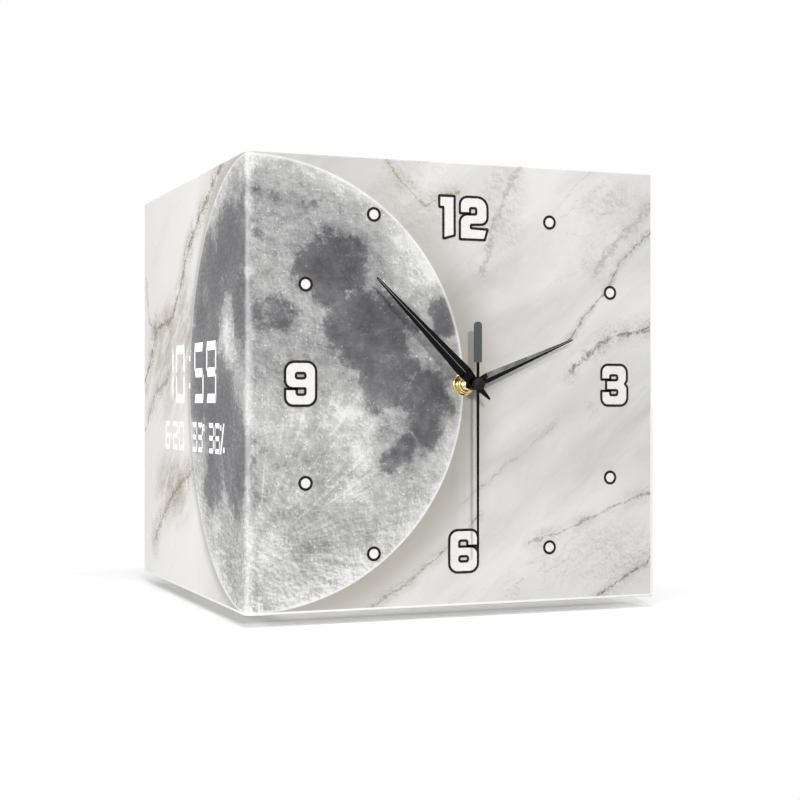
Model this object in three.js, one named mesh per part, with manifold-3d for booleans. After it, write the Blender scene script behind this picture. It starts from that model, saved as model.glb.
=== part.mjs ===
// Corner wall clock for an outside wall corner, in millimetres with +Z up.
// The origin lies on the wall's corner edge at mid-height. The dial wing runs along +X and faces -Y,
// and the display wing runs along +Y and faces -X.
import * as THREE from "three";
import { ConvexGeometry } from "three/addons/geometries/ConvexGeometry.js";
import { mergeVertices } from "three/addons/utils/BufferGeometryUtils.js";
import Module from "manifold-3d";

const wasm = await Module();
wasm.setup();

// Body of the clock
const WING = 300; // width of each wing, from the outer corner
const HEIGHT = 300; // height of both wings
const DEPTH = 32; // from the walls to the front faces
const PANEL_T = 3; // acrylic face panel
const BEND_R = 6; // outside radius of the panel's bend
const PANEL_BEVEL = 0.6; // polished edge of the panel
const SEAT = 0.1; // clearance between faces that rest on each other
const CUT = 1; // how far a cutter passes beyond the face that it opens

// Frame behind the panel
const TAPE_T = 0.8; // bonding tape
const TAPE_W = 9; // width of the bonding tape
const FRAME_INSET = 2.5; // from the panel's edge to the frame
const FRAME_WALL = 2.5; // rails and stiles
const FLANGE = 12; // flange that the tape bonds to
const BACK_T = 2.5; // back plates
const POST_T = 3; // corner post
const POST_LEG = 6; // reach of the corner post behind each back plate

// Screws of the back plates
const SCREW_AT = [70, 240]; // along a wing, from the outer corner
const SCREW_R = 1.45; // shank
const SCREW_LENGTH = 12; // countersunk head included
const HEAD_R = 2.9; // countersunk head
const HEAD_T = 1.6; // depth of the countersunk head
const SCREW_FIT = 0.25; // clearance round the shank and the head
const BOSS = 9; // square screw boss
const BOSS_DEPTH = 13; // length of the screw boss

// Keyholes for the wall screws
const KEYHOLE_R = 4.6; // mouth that the screw head passes
const KEYHOLE_SLOT_R = 2.4; // half-width of the slot
const KEYHOLE_RISE = 11; // from the mouth's centre to the slot's end
const KEYHOLE_DROP = 38; // from the top of the clock to the mouth's centre

// Clamping hardware of the movement, from the dial outward
const RUBBER_R = 10; // rubber washer behind the panel
const RUBBER_T = 1;
const WASHER_R = 7.8; // brass washer in front of the panel
const WASHER_T = 1;
const NUT_FLATS = 12.6; // across the flats
const NUT_T = 3;
const NUT_SHOULDER_R = 5.6; // round shoulder in front of the hexagon
const NUT_SHOULDER_T = 1.4;
const THREAD_FIT = 0.2; // clearance between the bush and what it passes through

// Nested pipes of the hands, from the axis outward
const ARBOR_R = 0.6; // seconds arbor
const RUN_FIT = 0.15; // radial clearance of everything that turns
const MINUTE_WALL = 0.85; // minute pipe
const HOUR_WALL = 0.75; // hour pipe
const BUSH_WALL = 1.35; // threaded bush
const BUSH_FLANGE_R = 5.6; // flange of the bush inside the case
const BUSH_FLANGE_T = 1;
const BUSH_REACH = 12; // from the front face to the bush's front end
const PIPE_STEP = 4.5; // each inner pipe reaches this much further

// Hands, clockwise from 12 in degrees
const HOUR_HAND = { length: 81, width: 7, tail: 5.5, angle: 67.6 };
const MINUTE_HAND = { length: 98.5, width: 9.6, tail: 14.5, angle: 314.5 };
const SECOND_ANGLE = 180;
const BLADE_T = 0.7; // flat part of the hour and minute hands
const BLADE_TIP = 1.2; // width of the blunt tip
const BLADE_CREASE = 11; // from the axis to the start of the ridge
const RIDGE = 1.1; // height of the folded ridge
const COLLET_R = 4; // collet that grips the pipe
const COLLET_T = 2.2; // length of the collet behind the blade
const PIPE_STUB = 0.5; // length of pipe seen in front of the blade
const HAND_FIT = 0.06; // clearance between a hand and its pipe
const NEEDLE_LENGTH = 112; // second hand
const NEEDLE_T = 0.8;
const NEEDLE_W = 2; // at the axis
const NEEDLE_TIP_W = 1.3;
const WEIGHT_NEAR = 14.5; // counterweight, from the axis
const WEIGHT_FAR = 41.5;
const WEIGHT_W = 5.2;
const WEIGHT_T = 1.8;
const CAP_R = 4; // round cap of the second hand
const CAP_FRONT = 1.6; // cap ahead of the arbor's end

// Gear train of the movement
const GEAR_MODULE = 0.4;
const ROTOR_MODULE = 0.3;
const GEAR_T = 1;
const LAYER_GAP = 0.6; // between neighbouring gear layers
const GEAR_CLEAR = 1.2; // from a gear to the case
const ADDENDUM = 0.8; // tooth proportions, in modules and in shares of a tooth step
const DEDENDUM = 1.1;
const ROOT_HALF = 0.28;
const PINION = 8; // teeth
const INTERMEDIATE_TEETH = 48;
const SECONDS_TEETH = 40;
const THIRD_TEETH = 60;
const CENTRE_TEETH = 64;
const CANNON_TEETH = 12;
const MINUTE_TEETH = 36;
const MINUTE_PINION = 10;
const HOUR_TEETH = 40;
const PIVOT_R = 0.45; // arbors of the small wheels, and the fixed studs
const PIVOT_DEPTH = 0.8; // blind bearing holes

// Movement case
const CASE_WALL = 1.4;
const COVER_T = 1.4;
const CELL_R = 7.1; // AA cell
const CELL_L = 50;
const CELL_CLEAR = 0.4;
const NUB_R = 2.75;
const NUB_L = 1;
const CONTACT_SPACE = 1.6; // at each end of the cell
const CONTACT_T = 0.4;
const CONTACT_W = 8;
const CONTACT_FOOT = 1; // foot of the positive contact
const KNOB_R = 6;
const KNOB_T = 5;
const KNOB_SHAFT_R = 1;
const WINDOW_MARGIN = 4; // from the case to the window in the back plate

// Stepping motor and its board
const MAGNET_R = 3;
const STATOR_HALF = 6; // half-width of the stator's head
const STATOR_T = 0.9;
const STATOR_LEG = 3; // width of the legs
const COIL_R = 2.8;
const COIL_V = 15.5; // height of the coil above the shaft
const COIL_SPAN = [-21.5, -8.5]; // along the coil's axis
const BOARD_T = 1; // movement board
const BOARD_H = 6;
const BOARD_GAP = 0.3; // from the board to the case
const BOARD_POST_R = 1.4;
const BOARD_POST_INSET = 2; // from the ends of the board
const CRYSTAL_R = 1;
const CRYSTAL_L = 6;
const CRYSTAL_INSET = 1; // from the end of the board

// Display, about the middle of its wing, with +u towards the corner and +v up
const MODULE_GAP = 0.3; // behind the panel
const MODULE_T = 8;
const TIME_MODULE = { u: 2.5, v: 9, width: 160, height: 54 };
const CLIMATE_MODULE = { u: 14, v: -38.5, width: 182, height: 29 };
const PCB_T = 1.6; // display board
const PCB_MARGIN = 5; // board beyond the digit modules at the sides
const PCB_HEAD = 10; // board above the time module
const PCB_FOOT = 16; // board below the climate module, for the controls
const PEG_INSET = 5; // pegs from the corners of the display board
const PEG_R = 3.5;
const PEG_PIN_R = 1.4;
const PEG_FIT = 0.3;
const PEG_RISE = 1; // of a pin in front of the board
const SWITCH_W = 6;
const SWITCH_T = 3.5;
const STEM_R = 1.7;
const STEM_T = 1;
const BUTTON_U = [42, 57, 72];
const BUTTON_RISE = 8; // from the board's lower edge to the buttons
const BUTTON_R = 2.5;
const BUTTON_FIT = 0.25;
const BUTTON_FLANGE_R = 4;
const BUTTON_FLANGE_T = 1;
const BUTTON_RECESS = 0.4; // behind the wall face of the back plate
const BUTTON_TRAVEL = 0.8;
const CHIP = { u: 0, v: 4, width: 18, height: 8, thickness: 2.4 };
const SENSOR = { inset: 22.5, rise: 9, width: 12, height: 15, thickness: 5.5 }; // from the board's left edge
const COIN = { inset: 38, v: -8, radius: 10, thickness: 3.2 }; // from the board's right edge
const COIN_RIM = 2;
const COIN_FLOOR = 1;

// Power inlet in the bottom rail, with its lead to the display board
const INLET_U = -30;
const INLET_W = 8.9;
const INLET_H = 3.2;
const INLET_WALL = 0.3;
const INLET_L = 9;
const INLET_DEPTH = 6.5;
const INLET_FIT = 0.2;
const TONGUE_W = 6.6;
const TONGUE_T = 0.7;
const INLET_PLATE = { width: 16, height: 7.5, thickness: 1.4 };
const PLUG = { width: 8, height: 6, thickness: 6 };
const LEAD_R = 1.4;
const LEAD_SLACK = 7;

// Vent slots under the climate sensor
const VENT_COUNT = 5;
const VENT_PITCH = 6;
const VENT_W = 3;
const VENT_L = 13;

// Facets of round pieces
const ROUND = 28;
const FINE = 20;
const SMALL = 8;
const BEND_STEPS = 6;

// Finishes
function finish(color, roughness, metalness) {
  return new THREE.MeshStandardMaterial({ color, roughness, metalness });
}
const ACRYLIC = finish("#dedcd9", 0.08, 0);
const WHITE_PLASTIC = finish("#f1f0ec", 0.45, 0);
const BLACK_PLASTIC = finish("#1b1b1d", 0.5, 0);
const CLEAR_NYLON = finish("#d9d6c8", 0.5, 0);
const FOAM = finish("#e9e6de", 0.9, 0);
const RUBBER = finish("#202020", 0.85, 0);
const BRASS = finish("#c79a42", 0.28, 1);
const STEEL = finish("#a9abad", 0.35, 1);
const BLACK_PAINT = finish("#121213", 0.35, 0.2);
const COPPER = finish("#a8572c", 0.4, 0.8);
const MAGNET = finish("#4a4b4f", 0.5, 0.6);
const BOARD_GREEN = finish("#1f5a3a", 0.55, 0);
const CELL_WRAP = finish("#2d4f86", 0.4, 0.1);
const SENSOR_BLUE = finish("#3d7fb5", 0.5, 0);

// Solids
function solidOf(shape) {
  if (!shape.isBufferGeometry) {
    return shape;
  }
  const bare = shape.clone();
  bare.deleteAttribute("normal");
  bare.deleteAttribute("uv");
  const merged = mergeVertices(bare, 1e-4);
  const corners = Array.from(merged.index.array);
  const faces = [];
  for (let i = 0; i < corners.length; i += 3) {
    const face = corners.slice(i, i + 3);
    if (new Set(face).size === 3) {
      faces.push(...face);
    }
  }
  return new wasm.Manifold(
    new wasm.Mesh({
      numProp: 3,
      vertProperties: new Float32Array(merged.attributes.position.array),
      triVerts: new Uint32Array(faces),
    }),
  );
}

function geometryOf(solid) {
  const mesh = solid.getMesh();
  const geometry = new THREE.BufferGeometry();
  geometry.setAttribute("position", new THREE.BufferAttribute(mesh.vertProperties, 3));
  geometry.setIndex(new THREE.BufferAttribute(mesh.triVerts, 1));
  geometry.computeVertexNormals();
  return geometry;
}

function unite(...shapes) {
  return shapes.map(solidOf).reduce((whole, piece) => whole.add(piece));
}

function carve(shape, ...cutters) {
  return cutters.map(solidOf).reduce((left, cutter) => left.subtract(cutter), solidOf(shape));
}

function place(parent, name, shape, material) {
  const mesh = new THREE.Mesh(geometryOf(solidOf(shape)), material);
  mesh.name = name;
  parent.add(mesh);
  return mesh;
}

// Basic forms: z is the axis of every round piece
function block(low, high) {
  const size = high.map((value, axis) => value - low[axis]);
  const middle = low.map((value, axis) => value + size[axis] / 2);
  return new THREE.BoxGeometry(...size).translate(...middle);
}

function slab(plate, back, front) {
  const low = [plate.u - plate.width / 2, plate.v - plate.height / 2, back];
  const high = [plate.u + plate.width / 2, plate.v + plate.height / 2, front];
  return block(low, high);
}

function rod(radius, back, front, sides, u = 0, v = 0) {
  const geometry = new THREE.CylinderGeometry(radius, radius, front - back, sides);
  geometry.rotateX(Math.PI / 2);
  return geometry.translate(u, v, (front + back) / 2);
}

// A profile of [radius, z] points, counterclockwise, turned about z
function turned(profile, sides) {
  const points = profile.map(([radius, z]) => new THREE.Vector2(radius, z));
  return new THREE.LatheGeometry(points, sides).rotateX(Math.PI / 2);
}

function tube(bore, radius, back, front, sides) {
  const profile = [
    [bore, back],
    [radius, back],
    [radius, front],
    [bore, front],
    [bore, back],
  ];
  return turned(profile, sides);
}

function prism(shape, back, front, curveSegments = SMALL) {
  const options = { depth: front - back, bevelEnabled: false, curveSegments };
  return new THREE.ExtrudeGeometry(shape, options).translate(0, 0, back);
}

function outline(points) {
  return new THREE.Shape(points.map(([x, y]) => new THREE.Vector2(x, y)));
}

// A slot shape with round ends, along x
function oblong(width, height) {
  const radius = height / 2;
  const shape = new THREE.Shape();
  shape.absarc(width / 2 - radius, 0, radius, -Math.PI / 2, Math.PI / 2, false);
  shape.absarc(radius - width / 2, 0, radius, Math.PI / 2, (3 * Math.PI) / 2, false);
  return shape;
}

// Plan of the wings: p runs along the dial wing and q along the display wing, from the outer corner
const plan = new THREE.Group();
plan.name = "corner_clock_plan";
plan.position.set(-DEPTH, -DEPTH, 0);

// Middle of each wing, from the outer corner: the dial's lies in the middle of the flat face beside the bend
const dialMiddle = (WING + BEND_R) / 2;
const displayMiddle = WING / 2;

// Each wing has its own axes: u to the viewer's right, v up and f forward, from its middle
const UP = new THREE.Vector3(0, 0, 1);
const dialAxes = new THREE.Matrix4();
dialAxes.makeBasis(new THREE.Vector3(1, 0, 0), UP, new THREE.Vector3(0, -1, 0));
dialAxes.setPosition(dialMiddle, 0, 0);
const displayAxes = new THREE.Matrix4();
displayAxes.makeBasis(new THREE.Vector3(0, -1, 0), UP, new THREE.Vector3(-1, 0, 0));
displayAxes.setPosition(0, displayMiddle, 0);

function wingGroup(name, axes) {
  const group = new THREE.Group();
  group.name = name;
  group.applyMatrix4(axes);
  plan.add(group);
  return group;
}
const dial = wingGroup("dial_wing", dialAxes);
const display = wingGroup("display_wing", displayAxes);

// Place across a wing, side 1 for the dial and -1 for the display, of a distance from the outer corner
function across(side, along) {
  return side > 0 ? along - dialMiddle : displayMiddle - along;
}

function toPlan(geometry, axes) {
  return geometry.clone().applyMatrix4(axes);
}

// Strip that follows both wings between two depths behind the face
function bentStrip(near, far, end, bevel = 0) {
  const outer = Math.max(BEND_R - near, 0);
  const inner = Math.max(BEND_R - far, 0);
  const shape = new THREE.Shape();
  shape.moveTo(end, near + bevel);
  shape.lineTo(end - bevel, near);
  shape.lineTo(near + outer, near);
  if (outer > 0) {
    shape.absarc(near + outer, near + outer, outer, -Math.PI / 2, -Math.PI, true);
  }
  shape.lineTo(near, end - bevel);
  shape.lineTo(near + bevel, end);
  shape.lineTo(far, end);
  shape.lineTo(far, far + inner);
  if (inner > 0) {
    shape.absarc(far + inner, far + inner, inner, Math.PI, (3 * Math.PI) / 2, false);
  }
  shape.lineTo(end, far);
  shape.closePath();
  return shape;
}

// Turning a piece over about the diagonal of the plan swaps the wings
function turnOver(mesh) {
  mesh.quaternion.setFromAxisAngle(new THREE.Vector3(1, 1, 0).normalize(), Math.PI);
}

// Levels behind the face, and pipe radii
const tapeNear = PANEL_T + SEAT;
const tapeFar = tapeNear + TAPE_T;
const frameNear = tapeFar + SEAT;
const frameFar = DEPTH - BACK_T - SEAT;
const frameEnd = WING - FRAME_INSET;
const flangeEnd = frameEnd - FLANGE - SEAT;
const frameHalf = HEIGHT / 2 - FRAME_INSET;
const stileHalf = frameHalf - FRAME_WALL - SEAT;
const screwV = frameHalf - FRAME_WALL - BOSS / 2;
const minuteBore = ARBOR_R + RUN_FIT;
const minuteR = minuteBore + MINUTE_WALL;
const hourBore = minuteR + RUN_FIT;
const hourR = hourBore + HOUR_WALL;
const bushBore = hourR + RUN_FIT;
const bushR = bushBore + BUSH_WALL;
const threadHole = bushR + THREAD_FIT;

// Display levels
const moduleFront = -PANEL_T - MODULE_GAP;
const moduleBack = moduleFront - MODULE_T;
const pcbFront = moduleBack - SEAT;
const pcbBack = pcbFront - PCB_T;
const partFront = pcbBack - SEAT;
const timeHalf = TIME_MODULE.width / 2;
const climateHalf = CLIMATE_MODULE.width / 2;
const pcbLeft = Math.min(TIME_MODULE.u - timeHalf, CLIMATE_MODULE.u - climateHalf) - PCB_MARGIN;
const pcbRight = Math.max(TIME_MODULE.u + timeHalf, CLIMATE_MODULE.u + climateHalf) + PCB_MARGIN;
const pcbTop = TIME_MODULE.v + TIME_MODULE.height / 2 + PCB_HEAD;
const pcbBottom = CLIMATE_MODULE.v - CLIMATE_MODULE.height / 2 - PCB_FOOT;
const buttonV = pcbBottom + BUTTON_RISE;
const sensorU = pcbLeft + SENSOR.inset;
const sensorV = pcbBottom + SENSOR.rise;
const coinU = pcbRight - COIN.inset;

// Face panel: one bent sheet with polished edges and a hole for the bush
function facePanel() {
  const sheet = new THREE.ExtrudeGeometry(bentStrip(0, PANEL_T, WING, PANEL_BEVEL), {
    depth: HEIGHT - 2 * PANEL_BEVEL,
    bevelThickness: PANEL_BEVEL,
    bevelSize: PANEL_BEVEL,
    bevelOffset: -PANEL_BEVEL,
    bevelSegments: 1,
    curveSegments: BEND_STEPS,
  });
  sheet.translate(0, 0, PANEL_BEVEL - HEIGHT / 2);
  const hole = rod(threadHole, -2 * PANEL_T, PANEL_T, ROUND);
  return carve(sheet, toPlan(hole, dialAxes));
}
place(plan, "face_panel", facePanel(), ACRYLIC);

// Bonding tape: a closed loop round the back of the panel
function bondingTape() {
  const strip = prism(bentStrip(tapeNear, tapeFar, frameEnd), 0, TAPE_W, BEND_STEPS);
  const bottom = strip.clone().translate(0, 0, -frameHalf);
  const top = strip.clone().translate(0, 0, frameHalf - TAPE_W);
  const dialEnd = block([frameEnd - TAPE_W, tapeNear, -frameHalf], [frameEnd, tapeFar, frameHalf]);
  const displayEnd = block([tapeNear, frameEnd - TAPE_W, -frameHalf], [tapeFar, frameEnd, frameHalf]);
  return unite(bottom, top, dialEnd, displayEnd);
}
place(plan, "bonding_tape", bondingTape(), FOAM);

// Rails: a plate that closes the clock, a flange for the tape and bosses for the plate screws
function rail() {
  const plate = prism(bentStrip(frameNear, frameFar, frameEnd), 0, FRAME_WALL, BEND_STEPS);
  const flange = prism(bentStrip(frameNear, frameNear + FRAME_WALL, flangeEnd), 0, FLANGE, BEND_STEPS);
  let solid = unite(plate, flange);
  const middle = FRAME_WALL + BOSS / 2;
  for (const along of SCREW_AT) {
    const near = frameFar - BOSS_DEPTH;
    const top = FRAME_WALL + BOSS;
    const dialBoss = block([along - BOSS / 2, near, 0], [along + BOSS / 2, frameFar, top]);
    const displayBoss = block([near, along - BOSS / 2, 0], [frameFar, along + BOSS / 2, top]);
    solid = unite(solid, dialBoss, displayBoss);
    const pilot = rod(SCREW_R + SCREW_FIT, -DEPTH, BACK_T + SCREW_FIT - DEPTH + SCREW_LENGTH, SMALL);
    const dialPilot = pilot.clone().translate(across(1, along), middle, 0);
    const displayPilot = pilot.clone().translate(across(-1, along), middle, 0);
    solid = carve(solid, toPlan(dialPilot, dialAxes), toPlan(displayPilot, displayAxes));
  }
  return solid;
}

// Openings of the bottom rail under the display: the power inlet and a row of vent slots
const railMiddle = (frameNear + frameFar) / 2;
function bottomRail() {
  const inletShape = oblong(INLET_W + 2 * INLET_FIT, INLET_H + 2 * INLET_FIT);
  const inlet = prism(inletShape, -FRAME_WALL, 2 * FRAME_WALL, SMALL / 2);
  inlet.rotateZ(Math.PI / 2);
  inlet.translate(railMiddle, displayMiddle - INLET_U, 0);
  let solid = carve(rail(), inlet);
  for (let i = 0; i < VENT_COUNT; i++) {
    const slot = prism(oblong(VENT_L, VENT_W), -FRAME_WALL, 2 * FRAME_WALL, SMALL / 2);
    const along = displayMiddle - sensorU + (i - (VENT_COUNT - 1) / 2) * VENT_PITCH;
    solid = carve(solid, slot.translate(railMiddle, along, 0));
  }
  return solid;
}
const bottomMesh = place(plan, "bottom_rail", bottomRail(), WHITE_PLASTIC);
bottomMesh.position.z = -frameHalf;
const topMesh = place(plan, "top_rail", rail(), WHITE_PLASTIC);
topMesh.position.z = frameHalf;
turnOver(topMesh);

// End stiles: an angle that closes the free end of a wing
function endStile() {
  const section = outline([
    [frameEnd - FLANGE, frameNear],
    [frameEnd, frameNear],
    [frameEnd, frameFar],
    [frameEnd - FRAME_WALL, frameFar],
    [frameEnd - FRAME_WALL, frameNear + FRAME_WALL],
    [frameEnd - FLANGE, frameNear + FRAME_WALL],
  ]);
  return prism(section, -stileHalf, stileHalf);
}
place(plan, "dial_end_stile", endStile(), WHITE_PLASTIC);
turnOver(place(plan, "display_end_stile", endStile(), WHITE_PLASTIC));

// Corner post: an angle behind the seam of the back plates
const postStrip = bentStrip(frameFar - POST_T, frameFar, DEPTH + POST_LEG);
place(plan, "corner_post", prism(postStrip, -stileHalf, stileHalf), WHITE_PLASTIC);

// Countersunk screws, and the holes they need, with the head flush with the wall face
function screwForm(clearance) {
  const tip = SCREW_LENGTH - DEPTH;
  const profile = [
    [0, -DEPTH],
    [HEAD_R + clearance, -DEPTH],
    [SCREW_R + clearance, HEAD_T - DEPTH],
    [SCREW_R + clearance, tip - SCREW_R],
    [0, tip + clearance],
  ];
  return turned(profile, SMALL);
}

function screwSpots(side) {
  const spots = [];
  for (const along of SCREW_AT) {
    spots.push([across(side, along), screwV], [across(side, along), -screwV]);
  }
  return spots;
}

// Back plates: mitred against each other at the wall corner, each with a keyhole
function keyhole() {
  const mouthV = HEIGHT / 2 - KEYHOLE_DROP;
  const front = BACK_T - DEPTH + CUT;
  const mouth = rod(KEYHOLE_R, -DEPTH - CUT, front, ROUND, 0, mouthV);
  const end = rod(KEYHOLE_SLOT_R, -DEPTH - CUT, front, FINE, 0, mouthV + KEYHOLE_RISE);
  const slotLow = [-KEYHOLE_SLOT_R, mouthV, -DEPTH - CUT];
  const slot = block(slotLow, [KEYHOLE_SLOT_R, mouthV + KEYHOLE_RISE, front]);
  return unite(mouth, end, slot);
}

function backPlate(side) {
  const inside = BACK_T - DEPTH;
  const seam = DEPTH + SEAT;
  const section = outline([
    [across(side, seam - BACK_T), inside],
    [across(side, seam), -DEPTH],
    [across(side, frameEnd), -DEPTH],
    [across(side, frameEnd), inside],
  ]);
  const plate = prism(section, -frameHalf, frameHalf).rotateX(Math.PI / 2);
  const holes = screwSpots(side).map(([u, v]) => screwForm(SCREW_FIT).translate(u, v, 0));
  return carve(plate, keyhole(), ...holes);
}

// Movement levels, from the panel backward
const caseFront = -(PANEL_T + RUBBER_T + 2 * SEAT);
const caseInner = caseFront - CASE_WALL;
const flangeBack = caseInner - SEAT - BUSH_FLANGE_T;
const layerStep = GEAR_T + LAYER_GAP;
function layerTop(layer) {
  return flangeBack - LAYER_GAP - layer * layerStep;
}
function layerBottom(layer) {
  return layerTop(layer) - GEAR_T;
}
const HOUR_LAYER = 0;
const MINUTE_LAYER = 1;
const CENTRE_LAYER = 2;
const THIRD_LAYER = 3;
const SECONDS_LAYER = 4;
const INTERMEDIATE_LAYER = 5;
const caseRim = layerBottom(INTERMEDIATE_LAYER) - LAYER_GAP;
const coverInner = caseRim - SEAT;
const coverOuter = coverInner - COVER_T;

// Gear centres about the shaft, and the modules that make paired gears share a centre distance
function spacing(teethA, teethB, module) {
  return ((teethA + teethB) * module) / 2;
}
function tipRadius(teeth, module) {
  return (teeth / 2 + ADDENDUM) * module;
}
const thirdU = spacing(PINION, THIRD_TEETH, GEAR_MODULE);
const centreModule = (2 * thirdU) / (PINION + CENTRE_TEETH);
const intermediateU = -spacing(PINION, SECONDS_TEETH, GEAR_MODULE);
const rotorU = intermediateU - spacing(PINION, INTERMEDIATE_TEETH, ROTOR_MODULE);
const minuteV = spacing(CANNON_TEETH, MINUTE_TEETH, GEAR_MODULE);
const hourModule = (2 * minuteV) / (MINUTE_PINION + HOUR_TEETH);
const KNOB_BEARING = Math.PI / 4; // from the minute wheel to the setting knob
const knobU = minuteV * Math.cos(KNOB_BEARING);
const knobV = minuteV + minuteV * Math.sin(KNOB_BEARING);

// Turn of a gear's first tooth that drops its teeth into the gaps of the gear it meshes with
function meshPhase(otherPhase, otherTeeth, teeth, bearing) {
  const slip = otherPhase - bearing;
  return bearing + Math.PI - Math.PI / teeth - (slip * otherTeeth) / teeth;
}

function gear(teeth, module, phase, back, front) {
  const pitch = (teeth * module) / 2;
  const tip = pitch + ADDENDUM * module;
  const root = pitch - DEDENDUM * module;
  const corners = [
    [root, -ROOT_HALF],
    [tip, 0],
    [root, ROOT_HALF],
  ];
  const points = [];
  for (let tooth = 0; tooth < teeth; tooth++) {
    for (const [radius, share] of corners) {
      const angle = phase + ((tooth + share) * 2 * Math.PI) / teeth;
      points.push([radius * Math.cos(angle), radius * Math.sin(angle)]);
    }
  }
  return prism(outline(points), back, front);
}

// A wheel with its pinion one layer nearer the dial
function wheelAndPinion(wheel, pinion, layer) {
  return unite(
    gear(wheel.teeth, wheel.module, wheel.phase, layerBottom(layer), layerTop(layer)),
    gear(pinion.teeth, pinion.module, pinion.phase, layerTop(layer) - SEAT, layerTop(layer - 1)),
  );
}

// Phases follow the train from the seconds wheel to the rotor, and from the cannon pinion to the knob
const LEFT = Math.PI;
const thirdPhase = meshPhase(0, PINION, THIRD_TEETH, 0);
const centrePhase = meshPhase(thirdPhase, PINION, CENTRE_TEETH, LEFT);
const intermediatePhase = meshPhase(0, SECONDS_TEETH, PINION, LEFT);
const rotorPhase = meshPhase(intermediatePhase, INTERMEDIATE_TEETH, PINION, LEFT);
const minutePhase = meshPhase(0, CANNON_TEETH, MINUTE_TEETH, Math.PI / 2);
const hourPhase = meshPhase(minutePhase, MINUTE_PINION, HOUR_TEETH, -Math.PI / 2);
const knobPhase = meshPhase(minutePhase, MINUTE_TEETH, CANNON_TEETH, KNOB_BEARING);

const hourFront = BUSH_REACH + PIPE_STEP;
const minuteFront = hourFront + PIPE_STEP;
const arborFront = minuteFront + PIPE_STEP;
const minuteRear = layerBottom(CENTRE_LAYER) - LAYER_GAP / 3;
const pivotFront = caseInner + PIVOT_DEPTH - SEAT;
const pivotBack = coverInner - PIVOT_DEPTH + SEAT;
const pivotHole = PIVOT_R + RUN_FIT;

function pivotArbor() {
  return rod(PIVOT_R, pivotBack, pivotFront, SMALL);
}

// Wheels
const secondsWheel = unite(
  wheelAndPinion(
    { teeth: SECONDS_TEETH, module: GEAR_MODULE, phase: 0 },
    { teeth: PINION, module: GEAR_MODULE, phase: 0 },
    SECONDS_LAYER,
  ),
  rod(ARBOR_R, pivotBack, arborFront, FINE),
);
place(dial, "seconds_wheel", secondsWheel, BRASS);

const thirdWheel = unite(
  wheelAndPinion(
    { teeth: THIRD_TEETH, module: GEAR_MODULE, phase: thirdPhase },
    { teeth: PINION, module: centreModule, phase: thirdPhase },
    THIRD_LAYER,
  ),
  pivotArbor(),
);
place(dial, "third_wheel", thirdWheel, CLEAR_NYLON).position.x = thirdU;

const centreWheel = carve(
  gear(CENTRE_TEETH, centreModule, centrePhase, layerBottom(CENTRE_LAYER), layerTop(CENTRE_LAYER)),
  rod(minuteR + RUN_FIT, layerBottom(CENTRE_LAYER) - CUT, layerTop(CENTRE_LAYER) + CUT, FINE),
);
place(dial, "centre_wheel", centreWheel, CLEAR_NYLON);

const intermediateWheel = carve(
  wheelAndPinion(
    { teeth: INTERMEDIATE_TEETH, module: ROTOR_MODULE, phase: intermediatePhase },
    { teeth: PINION, module: GEAR_MODULE, phase: intermediatePhase },
    INTERMEDIATE_LAYER,
  ),
  rod(pivotHole, caseRim, caseInner, SMALL),
);
place(dial, "intermediate_wheel", intermediateWheel, CLEAR_NYLON).position.x = intermediateU;

const rotor = unite(
  gear(PINION, ROTOR_MODULE, rotorPhase, layerBottom(INTERMEDIATE_LAYER), layerTop(INTERMEDIATE_LAYER)),
  rod(MAGNET_R, layerBottom(SECONDS_LAYER), layerTop(THIRD_LAYER), FINE),
  pivotArbor(),
);
place(dial, "rotor", rotor, MAGNET).position.x = rotorU;

const minutePipe = carve(
  unite(
    rod(minuteR, minuteRear, minuteFront, FINE),
    gear(CANNON_TEETH, GEAR_MODULE, 0, layerBottom(MINUTE_LAYER), layerTop(MINUTE_LAYER)),
  ),
  rod(minuteBore, minuteRear - CUT, minuteFront + CUT, FINE),
);
place(dial, "minute_pipe", minutePipe, BRASS);

const minuteWheel = carve(
  wheelAndPinion(
    { teeth: MINUTE_TEETH, module: GEAR_MODULE, phase: minutePhase },
    { teeth: MINUTE_PINION, module: hourModule, phase: minutePhase },
    MINUTE_LAYER,
  ),
  rod(pivotHole, caseRim, caseInner, SMALL),
);
place(dial, "minute_wheel", minuteWheel, CLEAR_NYLON).position.y = minuteV;

const hourWheel = carve(
  unite(
    gear(HOUR_TEETH, hourModule, hourPhase, layerBottom(HOUR_LAYER), layerTop(HOUR_LAYER)),
    rod(hourR, layerBottom(HOUR_LAYER), hourFront, FINE),
  ),
  rod(hourBore, layerBottom(HOUR_LAYER) - CUT, hourFront + CUT, FINE),
);
place(dial, "hour_wheel", hourWheel, CLEAR_NYLON);

// Hand-setting knob: a pinion on the minute wheel and a ribbed grip behind the cover
function setKnob() {
  const gripFront = coverOuter - 2 * SEAT;
  const grip = gear(FINE, (2 * KNOB_R) / FINE, 0, gripFront - KNOB_T, gripFront);
  return unite(
    gear(CANNON_TEETH, GEAR_MODULE, knobPhase, layerBottom(MINUTE_LAYER), layerTop(MINUTE_LAYER)),
    rod(KNOB_SHAFT_R, gripFront - SEAT, layerTop(MINUTE_LAYER), SMALL),
    rod(PIVOT_R, layerTop(MINUTE_LAYER) - SEAT, pivotFront, SMALL),
    grip,
  );
}
place(dial, "set_knob", setKnob(), BLACK_PLASTIC).position.set(knobU, knobV, 0);

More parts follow.
